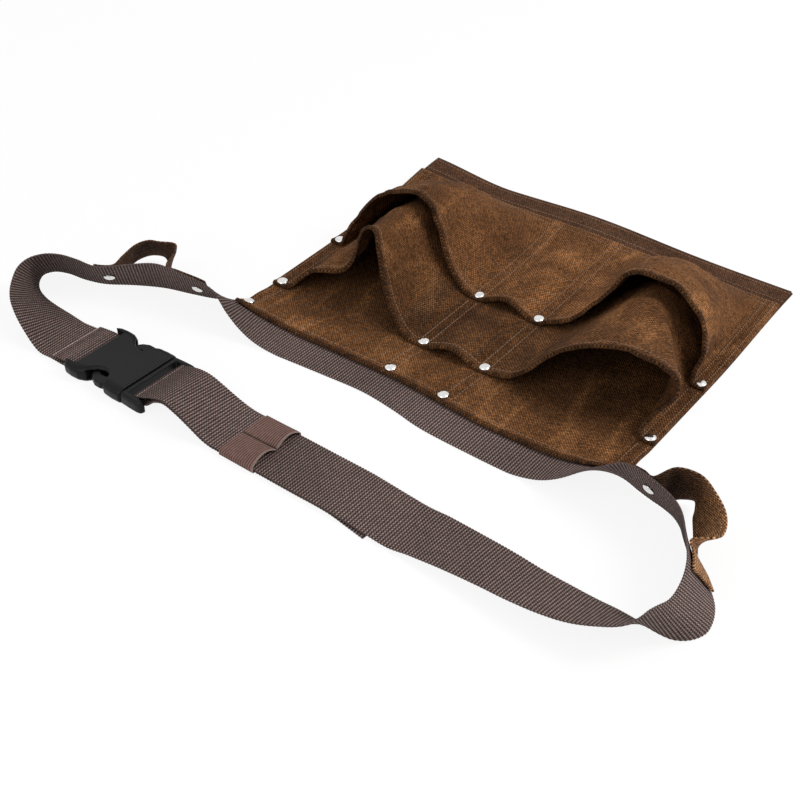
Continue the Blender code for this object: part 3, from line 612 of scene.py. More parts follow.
def webbing_edges():
    """Rows of both strap edges, from the sewn end round to the free tail."""
    radius = BAR_HALF_HEIGHT + BAR_CLEARANCE + WEBBING / 2
    over, under = REAR_BAR_Z + radius, REAR_BAR_Z - radius
    sewn_end = [(-248, 5.2, 5.3), (-240, 6.4, 6.4), (-231, over, over)]
    rear_turn = turn_path(-226.0, REAR_BAR_Z, radius, 90, -90)
    path = sewn_end + rear_turn + [(-231, under, under), (-239, 1.7, 1.7)]
    rows = curve_through(front_rows(path), STEP)
    over, under = END_BAR_Z + radius, END_BAR_Z - radius
    bend = curve_through([rows[-1]] + list(LEFT_BEND + UNDER_APRON + RIGHT_BEND), STEP)
    bend[:, [2, 5]] = np.maximum(bend[:, [2, 5]], WEBBING / 2)
    run = front_rows([*level((36, 0, -40, -76), RUN_Z), (-86, 4.9, 6.3), (-98, 8.2, 12.0),
                      (-112, 13.0, 18.0), (-124, 16.2, 21.0), (-136, 15.8, 18.0),
                      (-146, 13.0, 13.6), (-152, over, over)])
    joining = [(88, -104.6, 1.9, 88, -154.6, 2.2), (70, -103.6, 2.6, 70, -153.6, 2.6),
               (52, -102.2, 3.2, 52, -152.2, 3.2)]
    tail = front_rows([(-148, under, under), (-142, 7.6, 8.2), (-134, 12.4, 14.8),
                       (-124, 13.6, 18.4), (-112, 10.5, 15.4), (-98, 6.0, 9.5),
                       (-86, 2.8, 4.0), *level((-76, -40, 0, 36), TAIL_Z)])
    tail_end = [(52, -103.4, 1.0, 52, -153.4, 1.0),
                (TAIL_END_X, -106.4, 0.8, TAIL_END_X, -156.4, 0.8)]
    front = level_where_flat(curve_through([bend[-1]] + joining + run, STEP), RUN_Z)
    turn_rows = front_rows(turn_path(-153.5, END_BAR_Z, radius, 90, 270))
    tail_rows = level_where_flat(curve_through(tail + tail_end, STEP), TAIL_Z)
    return np.concatenate([rows[:-1], bend, front[1:], turn_rows, tail_rows])


strap_rows = webbing_edges()
print("strap rows", len(strap_rows), "length", round(walked(strap_rows[:, :3])[-1]), "mm")

# %% [markdown]
# ## The strap as a surface under the apron
# The canvas is laid over the strap and takes its height from it, so the strap's
# surface is sampled finely where the apron crosses it.

# %% Height of the canvas over the strap
GAP = 0.3

def surface_samples():
    """Dense mid-surface points and upward normals of the strap under the apron."""
    stations = list(LEFT_BEND[-2:] + UNDER_APRON + RIGHT_BEND[:2])
    fine = strap_grid(curve_through(stations, 2.0), WEBBING_WIDTH, 26)
    normals = grid_normals(fine)
    normals = normals * np.sign(normals[..., 2:3])
    return fine.reshape(-1, 3), normals.reshape(-1, 3)


STRAP_POINTS, STRAP_NORMALS = surface_samples()


def height_over_strap(x, y, clearance):
    """Height at (x, y) of a surface held `clearance` above the strap's mid-surface."""
    away = np.hypot(STRAP_POINTS[:, 0] - x, STRAP_POINTS[:, 1] - y)
    near = away < max(4.0, away.min() + 0.1)
    points, normals = STRAP_POINTS[near], STRAP_NORMALS[near]
    slopes = (normals[:, 0] * (x - points[:, 0]) + normals[:, 1] * (y - points[:, 1]))
    return np.max(points[:, 2] + (clearance - slopes) / normals[:, 2])


print("samples of the strap's surface", len(STRAP_POINTS))

# %% [markdown]
# ## Webbing
# Heavy webbing is woven from thick ribs that cross it, each 2.6 mm along. The ribs show
# as fine scallops on both edges, so the width steps in and out with every rib, and the
# faces rise and fall by an eighth. The selvedges are thinner.
#
# The strap is made in two pieces that meet under the keeper: one keeps still with the
# apron, the other runs on round the male half's bar and back as the free tail.

# %% Webbing pieces
KEEPER_SPLIT_X = -50.0
RIB_PITCH, RIB_SWELL, RIB_SCALLOP = 2.6, 0.13, 0.008
SELVEDGE_FROM, SELVEDGE_THINNER = 0.93, 0.35


def webbing_piece(name, edges, u_start, sealed_end):
    """A stretch of strap; `sealed_end` is how far its melted first end reaches."""
    columns = 13
    grid = strap_grid(edges, WEBBING_WIDTH, columns)
    across = np.linspace(-1.0, 1.0, columns)
    centre = (grid[:, :1] + grid[:, -1:]) / 2
    gone = arc_lengths(grid, 0)
    rib = np.sin(2 * math.pi * (gone + u_start / MM) / RIB_PITCH)[:, None]
    grid = centre + (grid - centre) * (0.994 + rib[..., None] * RIB_SCALLOP)
    selvedge = np.clip((np.abs(across) - SELVEDGE_FROM) / (1.0 - SELVEDGE_FROM), 0.0, 1.0)
    thickness = WEBBING * (1.0 - RIB_SWELL + RIB_SWELL * rib)
    thickness = thickness * (1.0 - SELVEDGE_THINNER * selvedge)
    sealed = 1.0 - ease((gone[:, None] - sealed_end) / 0.5)
    piece = cloth(name, grid, thickness, BELT_FINISH, u_start=u_start, second=sealed)
    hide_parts("belt_webbing")
    return piece, grid


past_right = int(np.argmax(strap_rows[:, 0] > 200.0))
split = past_right + int(np.argmax(strap_rows[past_right:, 0] <= KEEPER_SPLIT_X)) - 1
main_webbing, main_grid = webbing_piece("webbing_main", strap_rows[:split + 1], 0.0, 1.5)
front_webbing, front_grid = webbing_piece("webbing_front", strap_rows[split:],
                                          arc_lengths(main_grid, 0)[-1] * MM, -1.0)
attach(main_webbing, "belt")
declare(main_grid)
declare(front_grid)
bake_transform(front_webbing)
print("webbing split at row", split)

# %% [markdown]
# ## Shape of the apron
# The apron is a flat sheet of canvas laid over the strap, its lower left corner curled
# up a little. The pockets' hems stand well away from it, and each has its own path from
# rivet to rivet, so each is written down as stations on that path.

# %% Shape of the apron
COLUMN_X = (-174.0, -29.0, 29.0, 174.0)
BELT_COLUMN_X = (-173.0, -28.5, 24.0, 174.0)
MIDDLE_ROW_Y, FRONT_ROW_Y = 51.0, 129.0
RIVET_TO_HEM, FLAT_HALF = 6.0, 6.0
CORNER_LIFT, EDGE_BOW, BOTTOM_DRIFT = 9.0, 5.0, 4.0
BACK_Z = CANVAS / 2
MIDDLE_Z = BACK_Z + CANVAS + GAP
FRONT_Z = MIDDLE_Z + CANVAS + GAP
OVER_WEBBING_Z = WEBBING + GAP + CANVAS / 2


def belt_edge_y(x):
    """The belt edge isn't quite straight: its right half is pulled 8.5 mm outwards."""
    return -1.5 - 8.5 * ease((x + 30.0) / 110.0)


def corner_lift(x, y):
    """The bottom left corner curls up, and the bottom edge bows up a little between."""
    corner = CORNER_LIFT * ease((-x - 95.0) / 95.0) * ease((y - 185.0) / 110.0)
    bow = EDGE_BOW * np.exp(-((x + 5.0) / 75.0) ** 2) * ease((y - 215.0) / 75.0)
    return corner + bow


def drift(y):
    """The lower part of the apron lies a few millimetres to the left."""
    return -BOTTOM_DRIFT * ease((y - 135.0) / 155.0)


def laid(x, y, z):
    """Points of the apron as it lies: drifted aside, and lifted with its corner."""
    return np.stack([x + drift(y), y, z + corner_lift(x, y)], axis=-1)


def belt_rivet_point(column):
    x = BELT_COLUMN_X[column]
    return x, belt_edge_y(x) + 8.0


# Hem of each big pocket, from its left rivet to its right one: how far the hem
# stands from the belt edge (y) and above the panel below it (z).
MIDDLE_LEFT_HEM = ((-163, 46, 1), (-148, 58, 16), (-124, 69, 19), (-117, 77, 28),
                   (-117, 82, 47), (-112, 83, 58), (-100, 80, 61), (-93, 74, 46),
                   (-78, 64, 21), (-55, 50, 6), (-41, 45, 0.6))
MIDDLE_LEFT_SECTION = ((-163, 131, 2), (-152, 131, 13), (-140, 131, 26), (-130, 131, 38),
                       (-121, 131, 47), (-112, 131, 51), (-101, 131, 49), (-90, 131, 36),
                       (-76, 131, 18), (-58, 131, 6), (-41, 131, 0.6))
MIDDLE_RIGHT_HEM = ((38, 45, 1), (54, 45, 5), (70, 48, 17), (86, 53, 34), (98, 56, 45),
                    (122, 59, 56), (147, 61, 59), (165, 65, 53), (176, 69, 40),
                    (177, 68, 28), (167, 58, 12), (164, 50, 3))
MIDDLE_RIGHT_SECTION = ((38, 131, 0.6), (54, 131, 3), (70, 131, 13), (86, 131, 28),
                        (100, 131, 42), (114, 131, 51), (124, 131, 52), (135, 131, 43),
                        (144, 131, 31), (152, 131, 18), (158, 131, 7), (162, 131, 1.5))
FRONT_LEFT_HEM = ((-163, 126, 14), (-150, 139, 38), (-138, 143, 50), (-122, 145, 57),
                  (-103, 145, 61), (-90, 142, 56), (-79, 138, 44), (-71, 134, 27),
                  (-57, 129, 11), (-41, 124, 2))
FRONT_RIGHT_HEM = ((38, 124, 2), (59, 127, 12), (78, 132, 33), (88, 138, 48),
                   (96, 144, 60), (110, 147, 64), (132, 147, 63), (151, 145, 54),
                   (164, 141, 42), (169, 136, 26), (166, 128, 8))

print("pocket hems have", len(MIDDLE_LEFT_HEM), len(MIDDLE_RIGHT_HEM), len(FRONT_LEFT_HEM),
      len(FRONT_RIGHT_HEM), "stations")

# %% [markdown]
# ## Rivets
# Every pocket corner and each end of the hammer loops is held by a cap rivet. Their
# places are worked out before the canvas, because the canvas is pressed down by them.

# %% Hammer loops' paths
LEFT_LOOP = (
    (-289, -13, 5.5, -272, -33, 35.0),
    (-292, 1, 5.5, -274, -16, 36.0),
    (-288, 13, 6.0, -271, -4, 35.0),
    (-278, 18, 6.0, -262, 0, 35.0),
    (-270, 15, 6.0, -250, 5, 35.0),
    (-263, 9, 6.0, -242, -2, 35.0),
)
RIGHT_LOOP = (
    (225, 3, 5.0, 224, -9, 41.0),
    (233, 6, 6.0, 239, -6, 40.0),
    (239, -4, 8.0, 255, -15, 39.0),
    (244, -18, 11.0, 270, -28, 36.0),
    (252, -33, 12.0, 277, -48, 37.0),
)


def strap_frames():
    """Centres, normals and edge directions along the strap where the loops are riveted."""
    rows = curve_through(LEFT_BEND[9:] + UNDER_APRON + RIGHT_BEND[:14], 1.0)
    grid = strap_grid(rows, WEBBING_WIDTH, 4)
    normals = grid_normals(grid)[:, 1]
    return ((grid[:, 0] + grid[:, -1]) / 2, normals * np.sign(normals[:, 1:2]),
            unit(grid[:, -1] - grid[:, 0]))


STRAP_FRAMES = strap_frames()


def strap_frame_at(x):
    """Centre, normal and edge direction of the standing strap nearest to a given x."""
    k = int(np.argmin(np.abs(STRAP_FRAMES[0][:, 0] - x)))
    return [part[k] for part in STRAP_FRAMES]


def against_strap(x, offset):
    centre, normal, direction = strap_frame_at(x)
    point = centre + normal * offset
    half = direction * LOOP_WIDTH / 2
    return (*(point - half), *(point + half))


LOOP_OFFSET = WEBBING / 2 + GAP + CANVAS / 2 + 1.0
LEFT_LOOP_RIVET_X = (-277.0, -207.0)
RIGHT_LOOP_RIVET_X = (210.0, 265.0)
print("loops", len(LEFT_LOOP), len(RIGHT_LOOP))

# %% Rivet places
def rivet_sites():
    """(name, foot point, outward normal, stack thickness) of every rivet."""
    sites = []
    for k in range(len(BELT_COLUMN_X)):
        x, y = belt_rivet_point(k)
        nearest = np.argmin((STRAP_POINTS[:, 0] - x) ** 2 + (STRAP_POINTS[:, 1] - y) ** 2)
        normal = STRAP_NORMALS[nearest]
        foot = np.array([x, y, height_over_strap(x, y, 0.0)]) - normal * WEBBING / 2
        sites.append((f"a{k + 1}", foot, normal, WEBBING + GAP + CANVAS + 0.9))
    up = np.array([0.0, 0.0, 1.0])
    for row, y, layers in (("b", MIDDLE_ROW_Y, 2), ("c", FRONT_ROW_Y, 3)):
        for k, x in enumerate(COLUMN_X):
            stack = layers * CANVAS + (layers - 1) * GAP
            sites.append((f"{row}{k + 1}", np.array([x, y, 0.0]), up, stack))
    for side, places in (("left", LEFT_LOOP_RIVET_X), ("right", RIGHT_LOOP_RIVET_X)):
        for k, x in enumerate(places):
            centre, normal, _ = strap_frame_at(x)
            foot = centre + normal * (LOOP_OFFSET + CANVAS / 2)
            stack = WEBBING / 2 + LOOP_OFFSET + CANVAS / 2
            sites.append((f"{side}_loop_{k + 1}", foot, -normal, stack))
    return sites


SITES = rivet_sites()
RIVET_POINTS = np.array([foot + normal * stack for _, foot, normal, stack in SITES])
print("rivets", len(SITES))

# %% [markdown]
# ## Canvas with wrinkles, hems and pressed rivets
# Stiff waxed canvas keeps broad, shallow wrinkles where it stands free, and lies flat
# where it is sewn or riveted. The hems are folded twice, so they are thicker, and the
# rivets press them flat.

# %% Wrinkles and hems
WRINKLE_SCALE = (0.022, 0.034)
WRINKLE_HEIGHT, RIDGE_HEIGHT, FINE_HEIGHT = 1.5, 2.6, 0.28
ROLL_FROM_EDGE, ROLL_REACH, ROUNDED_EDGE = 2.2, 2.3, 1.6
SIDE_RIDGE, SIDE_RIDGE_PITCH, SIDE_SEAM_WIDTH, GROOVE_SHADE = 0.45, 4.2, 14.0, 0.75


def lumps(points, scale, seed, detail=3):
    """Smooth values of about -1 to 1 at points in millimetres."""
    out = np.empty(len(points))
    for i, (x, y, z) in enumerate(points):
        place = Vector((x * scale[0], y * scale[1], z * scale[0] + seed))
        out[i] = noise.fractal(place, 0.9, 2.1, detail)
    return out


def pushed_out(grid, amount):
    return grid + grid_normals(grid) * amount[..., None]


def wrinkled(grid, room, seed):
    """Moves the grid along its normals; `room` is how far each point may go."""
    flat, (along, across) = grid.reshape(-1, 3), WRINKLE_SCALE
    broad = lumps(flat, (along, across), seed)
    ridges = 0.35 - np.abs(lumps(flat, (along * 1.3, across * 0.8), seed + 5.0))
    ridges = np.maximum(ridges, -0.2)
    fine = lumps(flat, (along * 4, across * 4), seed + 9.0, 2)
    amount = broad * WRINKLE_HEIGHT + ridges * RIDGE_HEIGHT + fine * FINE_HEIGHT
    return pushed_out(grid, amount.reshape(grid.shape[:2]) * np.clip(room, 0.0, 1.0))


def away_from_rivets(grid, near=3.5, far=10.0):
    """0 at a rivet, 1 at some distance from it."""
    gap = np.linalg.norm(grid[:, :, None, :] - RIVET_POINTS[None, None], axis=3).min(axis=2)
    return ease((gap - near) / (far - near))


def hemmed(grid, width, extra):
    """(thickness, share above, hem value) with a rolled hem along the first edge in y."""
    from_edge = walked(grid, 1)
    inside = 1.0 - ease((from_edge - width + 1.0) / 2.0)
    roll = np.exp(-((from_edge - ROLL_FROM_EDGE) / ROLL_REACH) ** 2)
    pressed = 0.3 + 0.7 * away_from_rivets(grid)
    rounded = np.sqrt(np.clip((from_edge + 0.15) / ROUNDED_EDGE, 0.0, 1.0))
    thickness = (CANVAS + extra * pressed * (0.7 * roll + 0.3 * inside)) * rounded
    above = 1.0 - (CANVAS / 2) * rounded / thickness
    # The outer few millimetres of the roll get painted shade.
    roll_painted_shade = 1.0 - ease((from_edge - 3.2) / 2.2)
    return thickness, np.clip(above, 0.0, 1.0), roll_painted_shade


def side_seams(grid, flat, thickness, hem):
    """Thickness and hem value with parallel ridges along both sides, where it is flat."""
    inside = APRON_HALF_WIDTH - np.abs(grid[..., 0] - drift(grid[..., 1]))
    ridge = 0.5 + 0.5 * np.cos(2 * math.pi * (inside - 1.2) / SIDE_RIDGE_PITCH)
    ribs = ridge * (1.0 - ease((inside - SIDE_SEAM_WIDTH) / 3.0)) * flat
    # The grooves between the ridges get painted shade.
    groove = GROOVE_SHADE * (1.0 - ribs) * (ribs > 0.02)
    return thickness + SIDE_RIDGE * ribs, np.maximum(hem, groove)


print("wrinkles ready")

# %% [markdown]
# ## Back panel
# One piece of canvas carries everything. It is hemmed along the strap, and both side
# edges are bound.

# %% Back panel
COLUMN_POINTS = 7
STRAP_END_Y = 24.0


def fine_columns():
    """Places across the back panel, close together at the four columns of rivets."""
    low, high = COLUMN_X[0] + FLAT_HALF, COLUMN_X[-1] - FLAT_HALF
    xs = [np.linspace(-APRON_HALF_WIDTH, low, 6)]
    for left, right, count in zip(COLUMN_X, COLUMN_X[1:], (56, 18, 56)):
        xs.append(np.linspace(left + FLAT_HALF, right - FLAT_HALF, count)[1:])
        if right != COLUMN_X[-1]:
            xs.append(np.linspace(right - FLAT_HALF, right + FLAT_HALF, COLUMN_POINTS)[1:])
    xs.append(np.linspace(high, APRON_HALF_WIDTH, 6)[1:])
    return np.concatenate(xs)


def back_panel_grid():
    """Laid over the strap at its top edge, and flat on the table below that."""
    share = np.concatenate([np.linspace(0.0, 0.045, 16), np.linspace(0.053, 1.0, 104)])
    x = np.repeat(fine_columns()[:, None], len(share), axis=1)
    y = mix(belt_edge_y(x), APRON_BOTTOM_Y, share)
    over = np.full(x.shape, OVER_WEBBING_Z)
    clearance = WEBBING / 2 + GAP + CANVAS / 2 + 0.7
    for spot in map(tuple, np.argwhere(y < STRAP_END_Y + 18.0)):
        height = height_over_strap(x[spot], min(y[spot], STRAP_END_Y), clearance)
        over[spot] = max(over[spot], height)
    return laid(x, y, mix(over, BACK_Z, ease((y - STRAP_END_Y) / 17.0)))


back_grid = back_panel_grid()
back_y = back_grid[..., 1]
thickness, _, hem = hemmed(back_grid, 11.0, 1.2)
thickness, hem = side_seams(back_grid, back_y < POCKET_BOTTOM_Y, thickness, hem)
above = 1.0 - (CANVAS / 2) / np.maximum(thickness, CANVAS)
back_top = above * thickness
# Away from the strap the back panel gets painted shade in its hem value, for the shade of
# the pockets over it.
back = cloth("back_canvas", back_grid, thickness, CANVAS_FINISH, above,
             hem=np.maximum(hem, 0.62 * ease((back_y - 12.0) / 40.0)))
dress(back, back_grid, "back_panel")

# %% [markdown]
# ## Pocket panels
# Each row of pockets is one wide strip of canvas. It is sewn and riveted down at four
# columns and gathered between them, which makes the pockets stand open by themselves.

# %% Pocket panels
SPAN_COUNTS = (96, 26, 96)
SECTION_Y = 131.0


def flats_at(edge_y):
    """The sewn-down points of a row at each of the four columns."""
    flats = []
    for x in COLUMN_X:
        low = max(x - FLAT_HALF, -APRON_HALF_WIDTH)
        high = min(x + FLAT_HALF, APRON_HALF_WIDTH)
        flats.append(np.linspace((low, edge_y, 0.0), (high, edge_y, 0.0), COLUMN_POINTS))
    return flats


def joined(flats, spans):
    """One row from its flat places and the three spans between them."""
    row = [flats[0]]
    for span, flat in zip(spans, flats[1:]):
        row += [span[1:-1], flat]
    return np.concatenate(row)


def pocket_row(left, right, row_y, centre_rise):
    """One row of a pocket panel across its three pockets, side seam to side seam."""
    edge_y = row_y - RIVET_TO_HEM
    flats = flats_at(edge_y)
    inner = (left, [(0.0, edge_y + 1.0, centre_rise)], right)
    paths = [[a[-1], *path, b[0]] for a, path, b in zip(flats, inner, flats[1:])]
    return joined(flats, [evenly(curve_through(path, 1.0), count)
                          for path, count in zip(paths, SPAN_COUNTS)])


def seam_row(y):
    """The same row where the panel is sewn down flat."""
    flats = flats_at(y)
    return joined(flats, [np.linspace(a[-1], b[0], count)
                          for a, b, count in zip(flats, flats[1:], SPAN_COUNTS)])


def falling(start, steps, power):
    """Rows from `start` down to the pocket seam, lower and lower."""
    seam, rows = seam_row(POCKET_BOTTOM_Y), []
    for t in steps:
        rows.append(mix(start, seam, t))
        rows[-1][:, 2] = start[:, 2] * (1.0 - t**power)
    return rows


def panel_grid(rows, base):
    x, y, z = np.moveaxis(np.stack(rows, axis=1), 2, 0)
    return laid(x, y, base + z)


def standing(grid, base):
    """How freely the canvas stands: 0 where it is sewn down, 1 well above the panel."""
    return ease((grid[..., 2] - base - 5.0) / 22.0)


def middle_panel_grid():
    hem = pocket_row(MIDDLE_LEFT_HEM, MIDDLE_RIGHT_HEM, MIDDLE_ROW_Y, 7.0)
    section = pocket_row(MIDDLE_LEFT_SECTION, MIDDLE_RIGHT_SECTION, SECTION_Y + RIVET_TO_HEM,
                         1.5)
    section[:, 1] = SECTION_Y
    steps = np.concatenate([np.linspace(0.0, 0.15, 16), np.linspace(0.18, 1.0, 30)])
    upper = [mix(hem, section, t) for t in steps]
    return panel_grid(upper + falling(section, np.linspace(0.0, 1.0, 42)[1:], 1.7), MIDDLE_Z)


def front_panel_grid():
    hem = pocket_row(FRONT_LEFT_HEM, FRONT_RIGHT_HEM, FRONT_ROW_Y, 8.2)
    steps = np.concatenate([np.linspace(0.0, 0.095, 16), np.linspace(0.107, 1.0, 66)])
    return panel_grid(falling(hem, steps, 1.9), FRONT_Z)


def folded(grid, first, last, height, reach):
    """A sharp fold that stands out along the line from `first` to `last` and dies there."""
    start, way = np.array(first), np.array(last) - np.array(first)
    t = np.clip((grid - start) @ way / (way @ way), 0.0, 1.0)
    gap = np.linalg.norm(grid - start - t[..., None] * way, axis=2)
    rise = height * np.exp(-gap / reach) * (1.0 - t**3)
    return pushed_out(grid, rise * away_from_rivets(grid, 8.0, 22.0))


def pocket_panel(name, grid, base, node, seed, painted_shade_levels, folds=()):
    """The pair after `seed` is painted shade at the sides and in the middle of the panel."""
    grid = wrinkled(grid, standing(grid, base) * away_from_rivets(grid, 8.0, 26.0), seed)
    for fold in folds:
        grid = folded(grid, *fold)
    plain, above, hem = hemmed(grid, 9.0, 1.9)
    thickness, hem = side_seams(grid, 1.0 - standing(grid, base), plain, hem)
    above = 1.0 - plain * (1.0 - above) / thickness
    from_middle = np.abs(grid[..., 0] - drift(grid[..., 1]))
    # Painted shade, strongest in the middle where the standing pockets shade the panel, goes
    # into the hem value.
    painted_shade = mix(*painted_shade_levels, 1.0 - ease((from_middle - 45.0) / 50.0))
    panel = cloth(name, grid, thickness, CANVAS_FINISH, above, hem=np.maximum(hem, painted_shade))
    dress(panel, grid, node)
    return grid, thickness * above


MIDDLE_FOLD = ((171.0, 74.0, 42.0), (121.0, 147.0, 53.0), 7.0, 10.0)
# The middle panel gets painted shade, 0.3 at its sides and 0.8 in its middle; the front
# panel gets none.
middle_grid, middle_top = pocket_panel("middle_pockets", middle_panel_grid(), MIDDLE_Z,
                                       "middle_pocket_panel", 3.0, (0.3, 0.8), [MIDDLE_FOLD])
pouch_grid, pouch_top = pocket_panel("front_pockets", front_panel_grid(), FRONT_Z,
                                     "front_pocket_panel", 7.0, (0.0, 0.0))

# %% [markdown]
# ## Hem strip
# Below the pocket seam the apron ends in a strip of dark twill, sewn flat.

# %% Hem strip
strip_x = np.linspace(-APRON_HALF_WIDTH + 1, APRON_HALF_WIDTH - 1, 121)
strip_y = np.linspace(POCKET_BOTTOM_Y + 0.6, APRON_BOTTOM_Y - 0.3, 17)
strip_grid = laid(*np.meshgrid(strip_x, strip_y, indexing="ij"), MIDDLE_Z)
strip_edge = np.clip((APRON_BOTTOM_Y - strip_grid[..., 1] - 0.3) / 2.0, 0.0, 1.0)
strip = cloth("hem_strip_twill", strip_grid, CANVAS * (0.7 + 0.3 * strip_edge), TWILL,
              hem=1.0 - strip_edge)
dress(strip, strip_grid, "hem_strip")

# %% [markdown]
# ## Hammer loops
# A loop of doubled canvas is riveted to the strap on either side of the apron. Its
# edges are folded in, so they are a little thicker than its middle.

# %% Hammer loops
def loop_piece(name, start_xs, stations, end_xs, node, finish):
    """A loop that lies against the strap at both ends and stands free between them."""
    start, end = ([against_strap(x, LOOP_OFFSET) for x in xs] for xs in (start_xs, end_xs))
    columns = 19
    grid = strap_grid(curve_through(start + list(stations) + end, 1.6), LOOP_WIDTH, columns)
    across = np.abs(np.linspace(-1.0, 1.0, columns))
    turned_in = ease((across - 0.55) / 0.12) * (1.0 - ease((across - 0.9) / 0.1))
    thickness = CANVAS * (0.9 + 0.35 * turned_in) - 0.2 * (1.0 - away_from_rivets(grid))
    worn = ease(np.linspace(-0.45, 1.65, len(grid)) / 0.45)
    loop = cloth(name, grid, thickness, finish, hem=turned_in * 0.5, second=worn[:, None])
    dress(loop, grid, node)


loop_piece("left_loop", (-287, -280, -273), LEFT_LOOP, (-234, -224, -214, -206, -199),
           "left_hammer_loop", DARK_LOOP)
loop_piece("right_loop", (200, 208, 215), RIGHT_LOOP, (262, 267, 273, 279),
           "right_hammer_loop", WORN_LOOP)

# %% [markdown]
# ## Keeper
# The keeper is a band of wide elastic sewn into a tube round both layers of the strap.
# Its far end gapes open in two lobes on either side of a stitched middle.

# %% Keeper band
KEEPER_START_X, KEEPER_LENGTH, KEEPER_THICKNESS = -67.0, 33.0, 0.7
KEEPER_CORNER, KEEPER_STATIONS = 1.2, 61
TABLE_GAP = 0.1
ELASTIC_RIB = 2.2


def keeper_ring(inflate):
    """(across, height) round the strap, starting in the middle of the lower side."""
    half = WEBBING_WIDTH / 2 + 0.4 + KEEPER_THICKNESS / 2
    low = TABLE_GAP + KEEPER_THICKNESS / 2
    high = RUN_Z + WEBBING / 2 + 0.3 + KEEPER_THICKNESS / 2
    path = [(0.0, low)]
    for z, start in ((low + KEEPER_CORNER, -90), (high - KEEPER_CORNER, 0)):
        for angle in np.radians(np.linspace(start, start + 90, 7)):
            path.append((half - KEEPER_CORNER + KEEPER_CORNER * math.cos(angle),
                         z + KEEPER_CORNER * math.sin(angle)))
    ring = evenly(np.array(path + [(0.0, high)]), 90)
    bulge = np.sin(np.clip(ring[:, 0] / half, 0.0, 1.0) * math.pi) ** 0.8
    ring[:, 1] += inflate * bulge * (ring[:, 1] > high - 0.4)
    return np.concatenate([ring, ring[-2:0:-1] * (-1.0, 1.0)])


def keeper_skins():
    """Outer and inner points of the band, ring by ring, gaping more and more."""
    skins = [], []
    for t in np.linspace(0.0, 1.0, KEEPER_STATIONS):
        ring = keeper_ring(0.6 + 5.2 * t**1.5)
        along = KEEPER_START_X + KEEPER_LENGTH * t
        normal = np.stack([np.gradient(ring[:, 1]), -np.gradient(ring[:, 0])], axis=1)
        normal = unit(normal + 1e-9)
        rib = 0.09 * math.sin(2 * math.pi * KEEPER_LENGTH * t / ELASTIC_RIB)
        for skin, offset in zip(skins, (KEEPER_THICKNESS / 2 + rib, -KEEPER_THICKNESS / 2)):
            line = ring + normal * offset
            line[:, 1] = np.maximum(line[:, 1], TABLE_GAP)
            skin.append([(*front_point(along, a), z) for a, z in line])
    return np.array(skins)


skins = keeper_skins()
outer, around = skins[0], skins.shape[2]
under = KEEPER_STATIONS * around
index = np.arange(under).reshape(KEEPER_STATIONS, around)
wrap = np.roll(index, -1, axis=1)
faces = [np.stack([index[:-1], index[1:], wrap[1:], wrap[:-1]], 2).reshape(-1, 4),
         np.stack([index[:-1], wrap[:-1], wrap[1:], index[1:]], 2).reshape(-1, 4) + under,
         np.stack([index[0], wrap[0], wrap[0] + under, index[0] + under], 1),
         np.stack([index[-1], index[-1] + under, wrap[-1] + under, wrap[-1]], 1)]
round_way = walked(np.concatenate([outer[0], outer[0][:1]])) * MM
length_way = np.linspace(0.0, KEEPER_LENGTH * MM, KEEPER_STATIONS)
uv = np.stack(np.meshgrid(length_way, round_way[:-1], indexing="ij"), 2)
from_seam = np.linalg.norm(outer[..., :2] - outer[:, :1, :2], axis=2)
seam = np.roll(np.exp(-(from_seam / 0.9) ** 2), around // 2, axis=1)
pale_rim = np.repeat(ease((np.linspace(0.0, 1.0, KEEPER_STATIONS) - 0.96) / 0.02), around)
keeper = fabric_shell("keeper_elastic", skins.reshape(-1, 3), np.concatenate(faces), uv,
                      ELASTIC, 60, hem=seam, second=pale_rim)
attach(keeper, "keeper_band")
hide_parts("keeper")

# %% [markdown]
# ## Rivet caps
# Each cap is a pressed dome of nickel-plated steel with a rolled rim. One dome is
# revolved, and a node tree sets it on top of every rivet's stack, turned to its normal.

# %% Rivet caps
def revolved(name, profile, sides, material):
    """A shape turned round z from (radius, height) points, which start and end on it."""
    turns = 2 * math.pi * np.arange(sides) / sides
    points = [(0.0, 0.0, profile[0][1])]
    for radius, height in profile[1:-1]:
        points += [(radius * math.cos(a), radius * math.sin(a), height) for a in turns]
    points.append((0.0, 0.0, profile[-1][1]))
    tip = len(points) - 1
    rings = range(1, tip, sides)
    faces = []
    for k in range(sides):
        after = (k + 1) % sides
        faces.append((0, 1 + after, 1 + k))
        faces += [(r + k, r + after, r + sides + after, r + sides + k) for r in rings[:-1]]
        faces.append((rings[-1] + k, rings[-1] + after, tip))
    mesh = bpy.data.meshes.new(name)
    mesh.from_pydata([tuple(c * MM for c in p) for p in points], [], faces)
    mesh.shade_smooth()
    mesh.materials.append(material)
    return bpy.data.objects.new(name, mesh)


def vector_attribute(tree, label):
    node = add_node(tree, "GeometryNodeInputNamedAttribute", {"Name": label},
                    data_type="FLOAT_VECTOR")
    return node.outputs["Attribute"]


